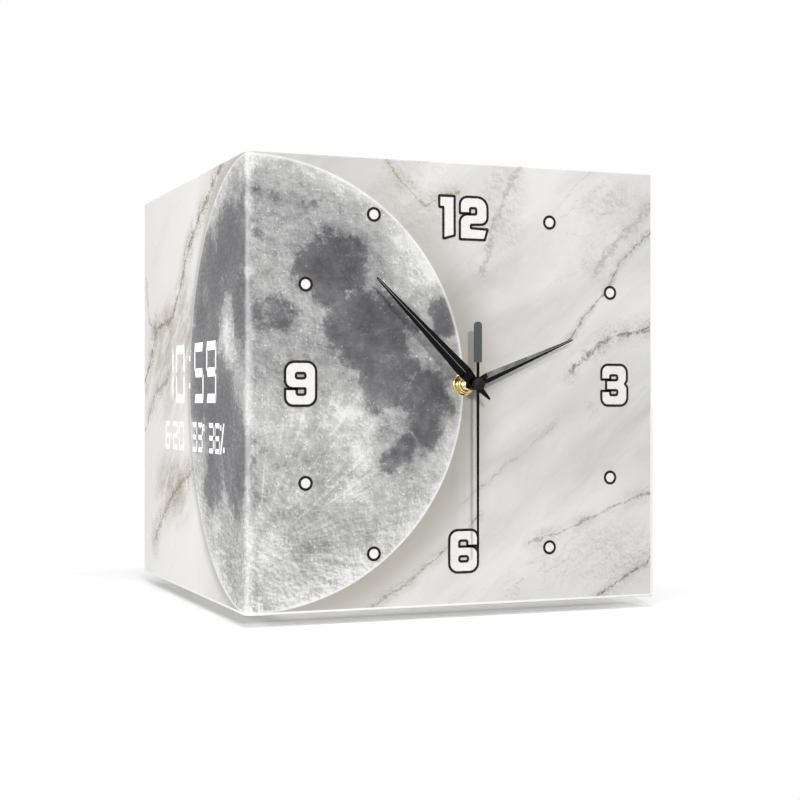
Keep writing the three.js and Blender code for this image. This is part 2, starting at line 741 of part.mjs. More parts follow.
// Movement case: a gear pocket above a cell bay, both open at the back
const pocketHalf = Math.max(
  CELL_L / 2 + CONTACT_SPACE,
  thirdU + tipRadius(THIRD_TEETH, GEAR_MODULE) + GEAR_CLEAR / 2,
  STATOR_HALF - rotorU + GEAR_CLEAR,
);
const caseHalf = pocketHalf + CASE_WALL;
const pocketTop = knobV + tipRadius(CANNON_TEETH, GEAR_MODULE) + GEAR_CLEAR;
const pocketBottom = -tipRadius(CENTRE_TEETH, centreModule) - GEAR_CLEAR;
const bayTop = pocketBottom - CASE_WALL;
const bayBottom = bayTop - 2 * (CELL_R + CELL_CLEAR);
const caseTop = pocketTop + CASE_WALL;
const caseBottom = bayBottom - CASE_WALL;
const cellV = (bayTop + bayBottom) / 2;
const cellF = caseInner - CELL_CLEAR - CELL_R;
const statorBack = (layerTop(THIRD_LAYER) + layerBottom(SECONDS_LAYER) - STATOR_T) / 2;
const statorFront = statorBack + STATOR_T;
const boardFront = layerTop(THIRD_LAYER);
const boardLow = [knobU + tipRadius(CANNON_TEETH, GEAR_MODULE) + GEAR_CLEAR, pocketTop - BOARD_GAP - BOARD_H];
const boardHigh = [pocketHalf - BOARD_GAP, pocketTop - BOARD_GAP];

function movementCase() {
  const box = block([-caseHalf, caseBottom, caseRim], [caseHalf, caseTop, caseFront]);
  const pocket = block([-pocketHalf, pocketBottom, caseRim - CUT], [pocketHalf, pocketTop, caseInner]);
  const bay = block([-pocketHalf, bayBottom, caseRim - CUT], [pocketHalf, bayTop, caseInner]);
  const shaftHole = rod(bushR + SEAT, caseInner - CUT, caseFront + CUT, ROUND);
  const shell = carve(box, pocket, bay, shaftHole);
  const studRoot = caseInner + CASE_WALL / 2;
  const boardV = (boardLow[1] + boardHigh[1]) / 2;
  const posts = [boardLow[0] + BOARD_POST_INSET, boardHigh[0] - BOARD_POST_INSET];
  const fitted = unite(
    shell,
    rod(PIVOT_R, layerBottom(MINUTE_LAYER) - SEAT, studRoot, SMALL, 0, minuteV),
    ...posts.map((u) => rod(BOARD_POST_R, boardFront + SEAT, studRoot, SMALL, u, boardV)),
  );
  const bearings = [
    [thirdU, 0],
    [rotorU, 0],
    [knobU, knobV],
  ];
  const holes = bearings.map(([u, v]) => rod(pivotHole, caseInner - CUT, caseInner + PIVOT_DEPTH, SMALL, u, v));
  return carve(fitted, ...holes);
}
place(dial, "movement_case", movementCase(), BLACK_PLASTIC);

// Movement cover: closes the gear pocket, bears the arbors and carries the intermediate wheel's stud
function movementCover() {
  const plate = block([-caseHalf, bayTop, coverOuter], [caseHalf, caseTop, coverInner]);
  const stud = rod(PIVOT_R, coverInner - SEAT, layerTop(SECONDS_LAYER), SMALL, intermediateU);
  const bearings = [0, thirdU, rotorU];
  const holes = bearings.map((u) => {
    const radius = u === 0 ? ARBOR_R + RUN_FIT : pivotHole;
    return rod(radius, coverInner - PIVOT_DEPTH, coverInner + CUT, SMALL, u);
  });
  const knobHole = rod(KNOB_SHAFT_R + RUN_FIT, coverOuter - CUT, coverInner + CUT, FINE, knobU, knobV);
  return carve(unite(plate, stud), ...holes, knobHole);
}
place(dial, "movement_cover", movementCover(), BLACK_PLASTIC);

// Clamping hardware
const bush = turned(
  [
    [bushBore, flangeBack],
    [BUSH_FLANGE_R, flangeBack],
    [BUSH_FLANGE_R, caseInner - SEAT],
    [bushR, caseInner - SEAT],
    [bushR, BUSH_REACH],
    [bushBore, BUSH_REACH],
    [bushBore, flangeBack],
  ],
  ROUND,
);
place(dial, "threaded_bush", bush, BRASS);
const rubberBack = caseFront + SEAT;
place(dial, "rubber_washer", tube(threadHole, RUBBER_R, rubberBack, rubberBack + RUBBER_T, ROUND), RUBBER);
place(dial, "brass_washer", tube(threadHole, WASHER_R, SEAT, SEAT + WASHER_T, ROUND), BRASS);

function brassNut() {
  const back = WASHER_T + 2 * SEAT;
  const hexFront = back + NUT_T;
  const hexagon = rod(NUT_FLATS / Math.sqrt(3), back, hexFront, 6);
  const chamfer = turned(
    [
      [0, back],
      [NUT_FLATS, back],
      [NUT_FLATS / 2, hexFront],
      [0, hexFront],
    ],
    ROUND,
  );
  const shoulder = rod(NUT_SHOULDER_R, hexFront - SEAT, hexFront + NUT_SHOULDER_T, ROUND);
  const body = unite(solidOf(hexagon).intersect(solidOf(chamfer)), shoulder);
  return carve(body, rod(threadHole, back - CUT, hexFront + NUT_SHOULDER_T + CUT, ROUND));
}
place(dial, "brass_nut", brassNut(), BRASS);

// Hour and minute hands: a flat lozenge with a folded ridge, on a collet
function bladeHand(hand, pipeR, pipeFront) {
  const back = pipeFront - PIPE_STUB - BLADE_T;
  const front = pipeFront - PIPE_STUB;
  const tip = BLADE_TIP / 2;
  const wide = hand.width / 2;
  const flat = outline([
    [-tip, hand.length],
    [-wide, BLADE_CREASE],
    [-tip, -hand.tail],
    [tip, -hand.tail],
    [wide, BLADE_CREASE],
    [tip, hand.length],
  ]);
  const ridge = new ConvexGeometry([
    new THREE.Vector3(-tip, hand.length, front - SEAT),
    new THREE.Vector3(tip, hand.length, front - SEAT),
    new THREE.Vector3(wide, BLADE_CREASE, front - SEAT),
    new THREE.Vector3(-wide, BLADE_CREASE, front - SEAT),
    new THREE.Vector3(0, BLADE_CREASE + SEAT, front + RIDGE),
    new THREE.Vector3(0, hand.length - BLADE_TIP, front + RIDGE / 3),
  ]);
  const collet = rod(COLLET_R, back - COLLET_T, front, FINE);
  const bore = rod(pipeR + HAND_FIT, back - COLLET_T - CUT, front + CUT, FINE);
  return carve(unite(prism(flat, back, front), ridge, collet), bore);
}

function turnClockwise(mesh, degrees) {
  mesh.rotation.z = -THREE.MathUtils.degToRad(degrees);
}
const hourHand = place(dial, "hour_hand", bladeHand(HOUR_HAND, hourR, hourFront), BLACK_PAINT);
turnClockwise(hourHand, HOUR_HAND.angle);
const minuteHand = place(dial, "minute_hand", bladeHand(MINUTE_HAND, minuteR, minuteFront), BLACK_PAINT);
turnClockwise(minuteHand, MINUTE_HAND.angle);

// Second hand: a needle, a counterweight and a round cap on a blind collet
function secondHand() {
  const back = minuteFront + PIPE_STEP / 2;
  const front = back + NEEDLE_T;
  const needle = outline([
    [-NEEDLE_TIP_W / 2, NEEDLE_LENGTH],
    [-NEEDLE_W / 2, 0],
    [-NEEDLE_W / 2, -WEIGHT_NEAR - NEEDLE_W / 2],
    [NEEDLE_W / 2, -WEIGHT_NEAR - NEEDLE_W / 2],
    [NEEDLE_W / 2, 0],
    [NEEDLE_TIP_W / 2, NEEDLE_LENGTH],
  ]);
  const weightMiddle = -(WEIGHT_NEAR + WEIGHT_FAR) / 2;
  const weightBack = (back + front - WEIGHT_T) / 2;
  const weight = prism(oblong(WEIGHT_FAR - WEIGHT_NEAR, WEIGHT_W), weightBack, weightBack + WEIGHT_T);
  weight.rotateZ(Math.PI / 2).translate(0, weightMiddle, 0);
  const cap = rod(CAP_R, back, arborFront + CAP_FRONT, FINE);
  const collet = rod(CAP_R / 2, minuteFront + SEAT, front, FINE);
  const bore = rod(ARBOR_R + HAND_FIT, minuteFront - CUT, arborFront + SEAT, FINE);
  return carve(unite(prism(needle, back, front), weight, cap, collet), bore);
}
turnClockwise(place(dial, "second_hand", secondHand(), BLACK_PAINT), SECOND_ANGLE);

// Stepping motor: a stator round the rotor, a core across its legs and a coil on the core
function stator() {
  const left = rotorU - STATOR_HALF;
  const right = rotorU + STATOR_HALF;
  const legTop = COIL_V + STATOR_LEG / 2;
  const coreLeft = COIL_SPAN[0] - SEAT;
  const coreRight = COIL_SPAN[1] + SEAT;
  const plate = outline([
    [left, -STATOR_HALF],
    [right, -STATOR_HALF],
    [right, STATOR_HALF],
    [coreRight + STATOR_LEG, legTop - STATOR_LEG],
    [coreRight + STATOR_LEG, legTop],
    [coreRight, legTop],
    [coreRight, COIL_V - COIL_R - SEAT],
    [right - STATOR_LEG, STATOR_HALF],
    [coreLeft, STATOR_HALF],
    [coreLeft, legTop],
    [left, legTop],
  ]);
  const air = rod(MAGNET_R + RUN_FIT * 3, statorBack - CUT, statorFront + CUT, FINE, rotorU);
  return carve(prism(plate, statorBack, statorFront), air);
}
place(dial, "stator", stator(), STEEL);

const coreBack = statorFront + SEAT;
const coreHalf = STATOR_LEG / 2;
const coreLow = [rotorU - STATOR_HALF, COIL_V - coreHalf, coreBack];
const coreHigh = [COIL_SPAN[1] + SEAT + STATOR_LEG, COIL_V + coreHalf, coreBack + STATOR_T];
place(dial, "coil_core", block(coreLow, coreHigh), STEEL);

function coil() {
  const bore = Math.hypot(coreHalf, STATOR_T / 2) + 2 * SEAT;
  const winding = tube(bore, COIL_R, COIL_SPAN[0], COIL_SPAN[1], FINE);
  return winding.rotateY(Math.PI / 2).translate(0, COIL_V, coreBack + STATOR_T / 2);
}
place(dial, "motor_coil", coil(), COPPER);

// Movement board with its timing crystal
const boardBody = block([...boardLow, boardFront - BOARD_T], [...boardHigh, boardFront]);
place(dial, "movement_board", boardBody, BOARD_GREEN);
function crystal() {
  const can = rod(CRYSTAL_R, 0, CRYSTAL_L, FINE).rotateY(Math.PI / 2);
  const v = (boardLow[1] + boardHigh[1]) / 2;
  return can.translate(boardLow[0] + CRYSTAL_INSET, v, boardFront - BOARD_T - SEAT - CRYSTAL_R);
}
place(dial, "quartz_crystal", crystal(), STEEL);

// Cell and its contacts
function aaCell() {
  const profile = [
    [0, -CELL_L / 2],
    [CELL_R, -CELL_L / 2],
    [CELL_R, CELL_L / 2 - NUB_L],
    [NUB_R, CELL_L / 2 - NUB_L],
    [NUB_R, CELL_L / 2],
    [0, CELL_L / 2],
  ];
  return turned(profile, ROUND).rotateY(Math.PI / 2).translate(0, cellV, cellF);
}
place(dial, "aa_cell", aaCell(), CELL_WRAP);

const contactLow = cellV - CONTACT_W / 2;
const contactHigh = cellV + CONTACT_W / 2;
const contactBack = cellF - CONTACT_W / 2;
const contactFront = cellF + CONTACT_W / 2;
const plusU = CELL_L / 2 + SEAT;
const plusStrip = block([plusU, contactLow, contactBack], [plusU + CONTACT_T, contactHigh, contactFront]);
const footHigh = [pocketHalf - SEAT, contactLow + CONTACT_FOOT, contactFront];
const plusFoot = block([plusU, contactLow, contactBack], footHigh);
place(dial, "positive_contact", unite(plusStrip, plusFoot), STEEL);

function bowedContact() {
  const wall = SEAT - pocketHalf;
  const touch = -CELL_L / 2 - SEAT;
  const leaf = outline([
    [wall, contactLow],
    [wall + CONTACT_T, contactLow],
    [touch, cellV],
    [wall + CONTACT_T, contactHigh],
    [wall, contactHigh],
    [touch - CONTACT_T, cellV],
  ]);
  return prism(leaf, contactBack, contactFront);
}
place(dial, "negative_contact", bowedContact(), STEEL);

// Dial back plate with a window for the cell and the setting knob
function dialBackPlate() {
  const half = caseHalf + WINDOW_MARGIN;
  const low = [-half, caseBottom - WINDOW_MARGIN, -DEPTH - CUT];
  const high = [half, caseTop + WINDOW_MARGIN, BACK_T - DEPTH + CUT];
  return carve(backPlate(1), block(low, high));
}
place(dial, "dial_back_plate", dialBackPlate(), WHITE_PLASTIC);

// Digit modules behind the panel
place(display, "time_digit_module", slab(TIME_MODULE, moduleBack, moduleFront), BLACK_PLASTIC);
place(display, "climate_digit_module", slab(CLIMATE_MODULE, moduleBack, moduleFront), BLACK_PLASTIC);

// Display board: peg holes in its corners and a plug for the power lead
const pegSpots = [
  [pcbLeft + PEG_INSET, pcbBottom + PEG_INSET],
  [pcbLeft + PEG_INSET, pcbTop - PEG_INSET],
  [pcbRight - PEG_INSET, pcbBottom + PEG_INSET],
  [pcbRight - PEG_INSET, pcbTop - PEG_INSET],
];
const plugV = pcbBottom + PLUG.height / 2;
function displayBoard() {
  const plug = slab({ u: INLET_U, v: plugV, ...PLUG }, pcbBack - PLUG.thickness, pcbBack + SEAT);
  const holes = pegSpots.map(([u, v]) => rod(PEG_PIN_R + PEG_FIT, pcbBack - CUT, pcbFront + CUT, SMALL, u, v));
  const board = block([pcbLeft, pcbBottom, pcbBack], [pcbRight, pcbTop, pcbFront]);
  return carve(unite(board, plug), ...holes);
}
place(display, "display_board", displayBoard(), BOARD_GREEN);
place(display, "driver_chip", slab(CHIP, partFront - CHIP.thickness, partFront), BLACK_PLASTIC);
const sensorBody = slab({ ...SENSOR, u: sensorU, v: sensorV }, partFront - SENSOR.thickness, partFront);
place(display, "climate_sensor", sensorBody, SENSOR_BLUE);

// Coin cell in a round holder that opens to the back
const holderBack = partFront - COIN_FLOOR - COIN.thickness;
const coinHole = rod(COIN.radius + 2 * SEAT, holderBack - CUT, partFront - COIN_FLOOR, ROUND, coinU, COIN.v);
const coinBody = rod(COIN.radius + COIN_RIM, holderBack, partFront, ROUND, coinU, COIN.v);
place(display, "coin_holder", carve(coinBody, coinHole), BLACK_PLASTIC);
const coinFront = partFront - COIN_FLOOR - SEAT;
const coinCell = rod(COIN.radius, coinFront - COIN.thickness, coinFront, ROUND, coinU, COIN.v);
place(display, "coin_cell", coinCell, STEEL);

// Switches on the board, and the buttons that reach them through the back plate
const switchBack = partFront - SWITCH_T;
const stemBack = switchBack - STEM_T;
const buttonFront = stemBack - BUTTON_TRAVEL - SEAT;
const flangeRest = BACK_T - DEPTH + SEAT;
BUTTON_U.forEach((u, i) => {
  const square = { u, v: buttonV, width: SWITCH_W, height: SWITCH_W };
  const body = slab(square, switchBack, partFront);
  const stem = rod(STEM_R, stemBack, switchBack + SEAT, SMALL, u, buttonV);
  place(display, `switch_${i + 1}`, unite(body, stem), BLACK_PLASTIC);
  const plunger = rod(BUTTON_R, BUTTON_RECESS - DEPTH, buttonFront, FINE, u, buttonV);
  const collar = rod(BUTTON_FLANGE_R, flangeRest, flangeRest + BUTTON_FLANGE_T, FINE, u, buttonV);
  place(display, `button_${i + 1}`, unite(plunger, collar), BLACK_PLASTIC);
});

// Display back plate: pegs that carry the board, and holes for the buttons
function displayBackPlate() {
  const root = BACK_T - DEPTH - SEAT;
  const pegs = pegSpots.flatMap(([u, v]) => [
    rod(PEG_R, root, pcbBack - SEAT, SMALL, u, v),
    rod(PEG_PIN_R, root, pcbFront + PEG_RISE, SMALL, u, v),
  ]);
  const holes = BUTTON_U.map((u) => {
    return rod(BUTTON_R + BUTTON_FIT, -DEPTH - CUT, BACK_T - DEPTH + CUT, FINE, u, buttonV);
  });
  return carve(unite(backPlate(-1), ...pegs), ...holes);
}
place(display, "display_back_plate", displayBackPlate(), WHITE_PLASTIC);

// Power inlet in the bottom rail, mouth down
function powerInlet() {
  const shell = prism(oblong(INLET_W, INLET_H), 0, INLET_L, SMALL / 2);
  const mouth = oblong(INLET_W - 2 * INLET_WALL, INLET_H - 2 * INLET_WALL);
  const cavity = prism(mouth, -1, INLET_DEPTH, SMALL / 2);
  const tongueLow = [-TONGUE_W / 2, -TONGUE_T / 2, 1];
  const tongue = block(tongueLow, [TONGUE_W / 2, TONGUE_T / 2, INLET_DEPTH + SEAT]);
  const seat = FRAME_WALL + SEAT;
  const plateLow = [-INLET_PLATE.width / 2, -INLET_PLATE.height / 2, seat];
  const plateHigh = [INLET_PLATE.width / 2, INLET_PLATE.height / 2, seat + INLET_PLATE.thickness];
  return unite(carve(unite(shell, block(plateLow, plateHigh)), cavity), tongue);
}
const inletMesh = place(plan, "usb_inlet", powerInlet(), STEEL);
inletMesh.position.set(railMiddle, displayMiddle - INLET_U, -frameHalf);
inletMesh.rotation.z = Math.PI / 2;

function powerLead() {
  const start = INLET_L - frameHalf + SEAT;
  const end = plugV - PLUG.height / 2 - SEAT;
  const plugF = pcbBack - PLUG.thickness / 2;
  const path = new THREE.CatmullRomCurve3([
    new THREE.Vector3(INLET_U, start, -railMiddle),
    new THREE.Vector3(INLET_U, start + (end - start) * 0.2, -railMiddle),
    new THREE.Vector3(INLET_U + LEAD_SLACK, (start + end) / 2, (plugF - railMiddle) / 2),
    new THREE.Vector3(INLET_U, end - (end - start) * 0.2, plugF),
    new THREE.Vector3(INLET_U, end, plugF),
  ]);
  const section = new THREE.Shape().absarc(0, 0, LEAD_R, 0, 2 * Math.PI, false);
  return new THREE.ExtrudeGeometry(section, { steps: 12, curveSegments: 5, extrudePath: path });
}
place(display, "power_lead", powerLead(), BLACK_PLASTIC);

// Screws of both back plates
for (const [group, side, prefix] of [
  [dial, 1, "dial_screw"],
  [display, -1, "display_screw"],
]) {
  screwSpots(side).forEach(([u, v], i) => {
    place(group, `${prefix}_${i + 1}`, screwForm(0), STEEL).position.set(u, v, 0);
  });
}

const clock = new THREE.Group();
clock.name = "corner_wall_clock";
clock.add(plan);
export default clock;
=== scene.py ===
import functools
import math

import bmesh
import bpy
from mathutils import Matrix, Vector


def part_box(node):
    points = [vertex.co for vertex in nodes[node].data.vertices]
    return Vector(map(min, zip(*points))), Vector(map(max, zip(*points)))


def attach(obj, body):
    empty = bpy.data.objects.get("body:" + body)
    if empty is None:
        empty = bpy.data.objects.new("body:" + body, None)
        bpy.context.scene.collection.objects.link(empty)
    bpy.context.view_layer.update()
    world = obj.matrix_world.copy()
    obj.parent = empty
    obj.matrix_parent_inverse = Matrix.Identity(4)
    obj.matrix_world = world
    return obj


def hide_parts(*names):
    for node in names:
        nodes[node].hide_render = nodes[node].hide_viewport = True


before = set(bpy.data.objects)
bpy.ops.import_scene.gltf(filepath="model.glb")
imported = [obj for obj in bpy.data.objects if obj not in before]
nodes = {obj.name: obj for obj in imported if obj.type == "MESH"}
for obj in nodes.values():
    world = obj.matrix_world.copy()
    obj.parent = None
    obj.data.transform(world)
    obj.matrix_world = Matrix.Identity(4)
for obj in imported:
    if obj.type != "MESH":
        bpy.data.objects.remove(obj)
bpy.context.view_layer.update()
scene = bpy.context.scene

# Sizes of the clock, in millimetres
MM = 0.001
HALF = 150  # half of a wing's width and of the height
DEPTH = 32  # from the walls to the front faces
FAR = 2 * HALF - DEPTH  # end of each wing
PANEL_T = 3
BEND_R = 6  # outside radius of the bend
BEND_STEPS = 20
PANEL_EDGE = {"width": 0.7, "segments": 3, "limit": 60}  # polished edge
PRINTED_SIDE = -0.9  # sum of x and y of a normal, below which a face carries the print
HOLE_R = 4.2  # hole for the threaded bush
HOLE_SIDES = 48

# Axes of each wing's face: u to the viewer's right, v up and f forward
DISPLAY_AT = HALF - DEPTH
DIAL_AT = DISPLAY_AT + BEND_R / 2
DIAL = Matrix(((1, 0, 0, DIAL_AT), (0, 0, -1, -DEPTH), (0, 1, 0, 0), (0, 0, 0, 1)))
DISPLAY = Matrix(((0, 0, -1, -DEPTH), (-1, 0, 0, DISPLAY_AT), (0, 1, 0, 0), (0, 0, 0, 1)))
PLAN = Matrix.Identity(4)

# Hour marks, in millimetres from the dial's centre
NUMERAL_U = 116
NUMERAL_V = 113
DOT_RADIUS = 130
DOT_R = 4.1
DOT_SIDES = 40
INK_BACK = 0.02  # the fill of a mark lies this far ahead of the panel
INK_FRONT = 0.1
STROKE_R = 0.88  # half-width of a mark's dark line
STROKE_RISE = 0.1  # the line is this much thicker than INK_FRONT
STROKE_SECTION = ((-1, 0), (-1, 0.6), (-0.94, 1), (0.94, 1), (1, 0.6), (1, 0))
CORNER_STEPS = 6
CORNER_SHARE = 0.49  # most of a side that the rounding of one corner takes

# Numerals as outlines of corners (u, v, rounding radius), about the middle of each numeral
NINE = (
    (
        (-10.65, 14.35, 6.2), (10.65, 14.35, 6.2), (10.65, -14.35, 6.2), (-10.65, -14.35, 6.2),
        (-10.65, -3.4, 0.3), (-2.7, -3.4, 0.3), (-2.7, -7.15, 1.3), (3.2, -7.15, 1.3), (3.2, -3.1, 0.2),
        (-10.65, -3.1, 5.2),
    ),
    ((-3.2, 6.95, 1.3), (3.2, 6.95, 1.3), (3.2, 3.55, 1.3), (-3.2, 3.55, 1.3)),
)
THREE = (
    (
        (-10.35, 14.35, 5.0), (10.05, 14.35, 5.6), (10.05, 3.2, 2.5), (8.5, 0.9, 0.2), (10.45, -1.6, 2.5),
        (10.45, -14.35, 5.6), (-10.35, -14.35, 5.6), (-10.35, -4.05, 0.3), (-3.25, -4.05, 0.2),
        (-3.25, -6.95, 0.8), (2.35, -6.95, 1.4), (2.35, -3.55, 1.0), (-6.55, -3.55, 0.3), (-6.55, 3.55, 0.3),
        (2.35, 3.55, 1.0), (2.35, 6.95, 1.2), (-3.25, 6.95, 0.9), (-3.25, 3.95, 0.1), (-10.35, 3.95, 0.3),
    ),
)
ONE = (
    (
        (-5.65, 14.5, 0.5), (5.65, 14.5, 0.5), (5.65, -12.15, 0.5), (-2.65, -14.55, 0.5), (-2.65, 6.8, 0.3),
        (-5.65, 6.8, 0.5),
    ),
)
TWO = (
    (
        (-10.3, 3.2, 0.2), (-10.3, 14.5, 6.6), (10.3, 14.5, 7.5), (10.3, -3.85, 5.0), (-2.1, -4.45, 0.6),
        (-2.1, -6.75, 0.5), (10.45, -7.2, 0.4), (8.25, -14.5, 0.4), (-10.3, -14.5, 0.4), (-10.3, 2.4, 5.5),
        (1.8, 2.8, 0.8), (1.8, 6.9, 0.9), (-2.7, 6.9, 0.8), (-2.7, 3.2, 0.1),
    ),
)
NUMERALS = (
    # outlines, u, v, turn in degrees
    (NINE, -NUMERAL_U, 0, 0),
    (THREE, NUMERAL_U, 0, 0),
    (NINE, 0, -NUMERAL_V, 180),
    (ONE, -12.3, NUMERAL_V, 0),
    (TWO, 7.5, NUMERAL_V, 0),
)

# Lit digits of the display, in millimetres from the middle of its wing
SEGMENTS = {
    "0": "abcdef", "1": "bc", "2": "abged", "3": "abgcd",
    "5": "afgcd", "6": "afgedc", "9": "abcdfg", "-": "g",
}
SEGMENT_GAP = 1.2
TIME_DIGITS = (("1", -74, 25), ("0", -40, 26), ("5", 16, 26), ("9", 50, 26.5))  # character, u, width
TIME_V = (-12.5, 30.5)
TIME_STROKE = (6.4, 2.6)  # thickness of the bars and of the sides
COLON_U = 2
COLON_V = (0, 20)
COLON_SIDE = 3.6
CLIMATE_DIGITS = (
    ("6", -74, 14), ("-", -58.5, 7.5), ("2", -49.5, 15), ("0", -30.5, 15),
    ("3", 10, 13.5), ("3", 26, 13.5), ("3", 56, 14), ("6", 73, 13.5),
)
CLIMATE_V = (-47.5, -26.5)
CLIMATE_STROKE = (3.4, 1.5)
DEGREE_AT = (42, -30)
DEGREE_SIDE = 4.6
DEGREE_HOLE = DEGREE_SIDE / 2.4
PERCENT_U = (88.5, 96.5)
PERCENT_DOT = 3.6
PERCENT_INSET = 3  # middle of each dot from the end of the slash
SLASH_SIDES = (1.5, 1.2)  # reach of the slash to its far and near side
LIT_BACK = 0.02
LIT_FRONT = 0.07

# Clamping hardware, in millimetres ahead of the panel
WASHER = {"radius": 7.8, "back": 0.1, "front": 1.1, "back_edge": 0.25, "front_edge": 0.3}
WASHER_SIDES = 64
NUT_FLATS = 12.6
NUT_SPAN = (1.2, 4.2)
NUT_CHAMFERS = (0.7, 1.0)  # length of the chamfer at the back and in front
NUT_END = 0.1  # the round ends are this much inside the flats
NUT_SIDES = 72
NUT_STEPS = 5
SHOULDER = {"radius": 5.6, "front": 5.6, "edge": 0.5}
BUSH_FRONT = 12
BUSH_BACK = -6.7
BUSH_FLANGE_R = 5.6
BUSH_FLANGE_FRONT = -5.7
BUSH_BORE = 2.65
THREAD_R = 4.0
THREAD_PITCH = 0.75
THREAD_DEPTH = 0.4
THREAD_SIDES = 48
THREAD_STEPS = 6  # rings to a turn
THREAD_SHARP = 60

# Hands, in millimetres ahead of the panel
HOUR_PIPE_FRONT = 16.5
MINUTE_PIPE_FRONT = 21.0
ARBOR_FRONT = 25.5
HOUR_HAND = {"length": 81, "width": 7, "tail": 5.5, "angle": 67.6, "pipe": 2.5, "front": HOUR_PIPE_FRONT}
MINUTE_HAND = {
    "length": 98.5, "width": 9.6, "tail": 14.5, "angle": 314.5, "pipe": 1.6, "front": MINUTE_PIPE_FRONT,
}
PIPE_STUB = 0.5  # a pipe ends this far ahead of its hand
PIPE_PLAY = 0.06
BLADE_T = 0.7
BLADE_TIP = 1.2
BLADE_TAPER = (0.1, 0.55)  # added to the tip's half-width where it starts, and its share at the very end
BLADE_EASE = 0.15  # the widest place is this much slimmer on each side
CREASE = 11  # where the fold starts
CREASE_HALF = 0.6
RIDGE = 1.1  # height of the folded ridge
CREST = 0.22  # half-width of the flat top of the ridge, which carries a painted highlight line
CREST_RISE = 0.1
COLLET_R = 4
COLLET_T = 2.2
COLLET_EDGE = 0.4
COLLET_SINK = 0.02  # the collet ends this far under the blade's face
BORE_SHARP = 8
HAND_SIDES = 48
SECOND_ANGLE = 180
NEEDLE = {"length": 112, "width": 2.0, "tip": 1.3, "thickness": 0.8, "edge": 0.15, "overlap": 0.5}
WEIGHT = {
    "near": 14.5, "far": 41.5, "width": 5.2, "thickness": 1.8, "near_r": 0.5, "far_r": 2.3, "edge": 0.45,
}
WEIGHT_STEPS = 8
CAP_R = 4
CAP_FRONT = 27.1
CAP_BORE = 0.66
CAP_TOP_PLAY = 0.05
CAP_FOOT_PLAY = 0.1
CAP_BACK = 0.6  # the cap starts this far behind the needle
CAP_BACK_EDGE = 0.4
CAP_ROUNDING = ((0, 0.7), (0.2, 0.25), (0.7, 0))  # inset from the radius, depth under the front

# Wall side: screws, dry cell, setting knob and broken edges, in millimetres
SCREW_HEAD_R = 2.9
SCREW_HEAD_T = 1.6
SCREW_HEAD_EDGE = 0.15
SCREW_R = 1.45
SCREW_ROOT_R = 1.05
SCREW_LENGTH = 12
SCREW_PITCH = 0.8
SCREW_POINT = 2
SCREW_TURN = ((SCREW_ROOT_R, 0.0), (SCREW_ROOT_R, 0.35), (SCREW_R, 0.6), (SCREW_R, 0.7))  # share of a pitch
SCREW_SIDES = 32
RECESS_REACH = 1.6
RECESS_HALF = 0.35
RECESS_SPAN = (-0.1, 1.1)
CELL_NUB_R = 2.75
CELL_NUB = 1.0
CELL_NUB_EDGE = 0.25
CELL_END_R = 5.9  # inside this radius the ends are bare metal
CELL_SIDES = 64
CELL_FOOT = ((2.6, 0.3), (2.3, 0), (1.5, 0), (1.2, 0.35), (0.5, 0.35), (0.1, 0.6), (0, 1.0))  # inset, height
CELL_HEAD = ((0, 0.9), (0.1, 0.5), (0.5, 0.25), (1.2, 0.25))  # inset, depth under the end of the can
CELL_COLLAR = ((1.2, -0.1), (0.3, 0), (0, 0.2))  # distance outside the nub, height over the can
KNOB_DISH = ((1.6, 0.2), (5.2, 0.2), (5.2, -0.25), (4.6, -0.4), (2.2, -0.4), (1.6, -0.25), (1.6, 0.2))
KNOB_SIDES = 48
EDGE_BREAKS = {
    0.4: "top_rail bottom_rail dial_end_stile display_end_stile",
    0.35: "dial_back_plate display_back_plate button_1 button_2 button_3",
    0.3: "movement_case",
    0.25: "movement_cover",
    0.12: "set_knob",
}
EDGE_ANGLE = 40
FLAT_ANGLE = 1  # faces that meet at less than this, in degrees, are one flat
WELD = 1e-6  # metres
SLIVER = 2e-6  # metres; thinner faces are left over from a cut
DOUBLE = 1e-5  # millimetres; closer points of a turned form are one

# Moon of the print, in hundreds of millimetres on the unfolded panel, with the bend at u = 0
PRINT_UNITS = 10.0  # to a metre
MOON_CENTRE = (0.025, 0.0)
MOON_RADII = (1.505, 1.49)
MOON_EDGE = (0.9985, 1.0015)  # shares of the radii between moon and marble
MOON_RIM = (0.984, 0.995, 0.0, 0.6)
MOON_GREYS = ((0.0, "#424245"), (0.25, "#646467"), (0.5, "#8b8b8b"), (0.75, "#b9b9b8"), (1.0, "#e8e8e6"))
RIM_PALE = "#f3f2f2"
PLAINS = (
    # centre u and v, half-width, half-height, darkness
    (0.58, 0.76, 0.31, 0.28, 0.8),
    (0.84, 0.36, 0.35, 0.28, 1.0),
    (0.97, 0.08, 0.26, 0.27, 0.9),
    (0.16, 0.44, 0.24, 0.2, 0.5),
    (1.38, 0.46, 0.12, 0.21, 0.85),
    (1.25, -0.16, 0.18, 0.32, 0.75),
    (1.07, -0.42, 0.16, 0.17, 0.75),
    (-0.36, 0.92, 0.5, 0.36, 0.9),
    (-0.98, 0.6, 0.5, 0.5, 0.95),
    (-1.2, 0.1, 0.34, 0.5, 0.9),
    (-0.7, -0.1, 0.5, 0.4, 0.85),
    (-0.14, 0.5, 0.26, 0.34, 0.7),
    (-0.3, -0.46, 0.4, 0.44, 0.9),
    (-0.8, -0.62, 0.3, 0.3, 0.85),
    (0.05, 1.2, 0.7, 0.06, 0.4),
)
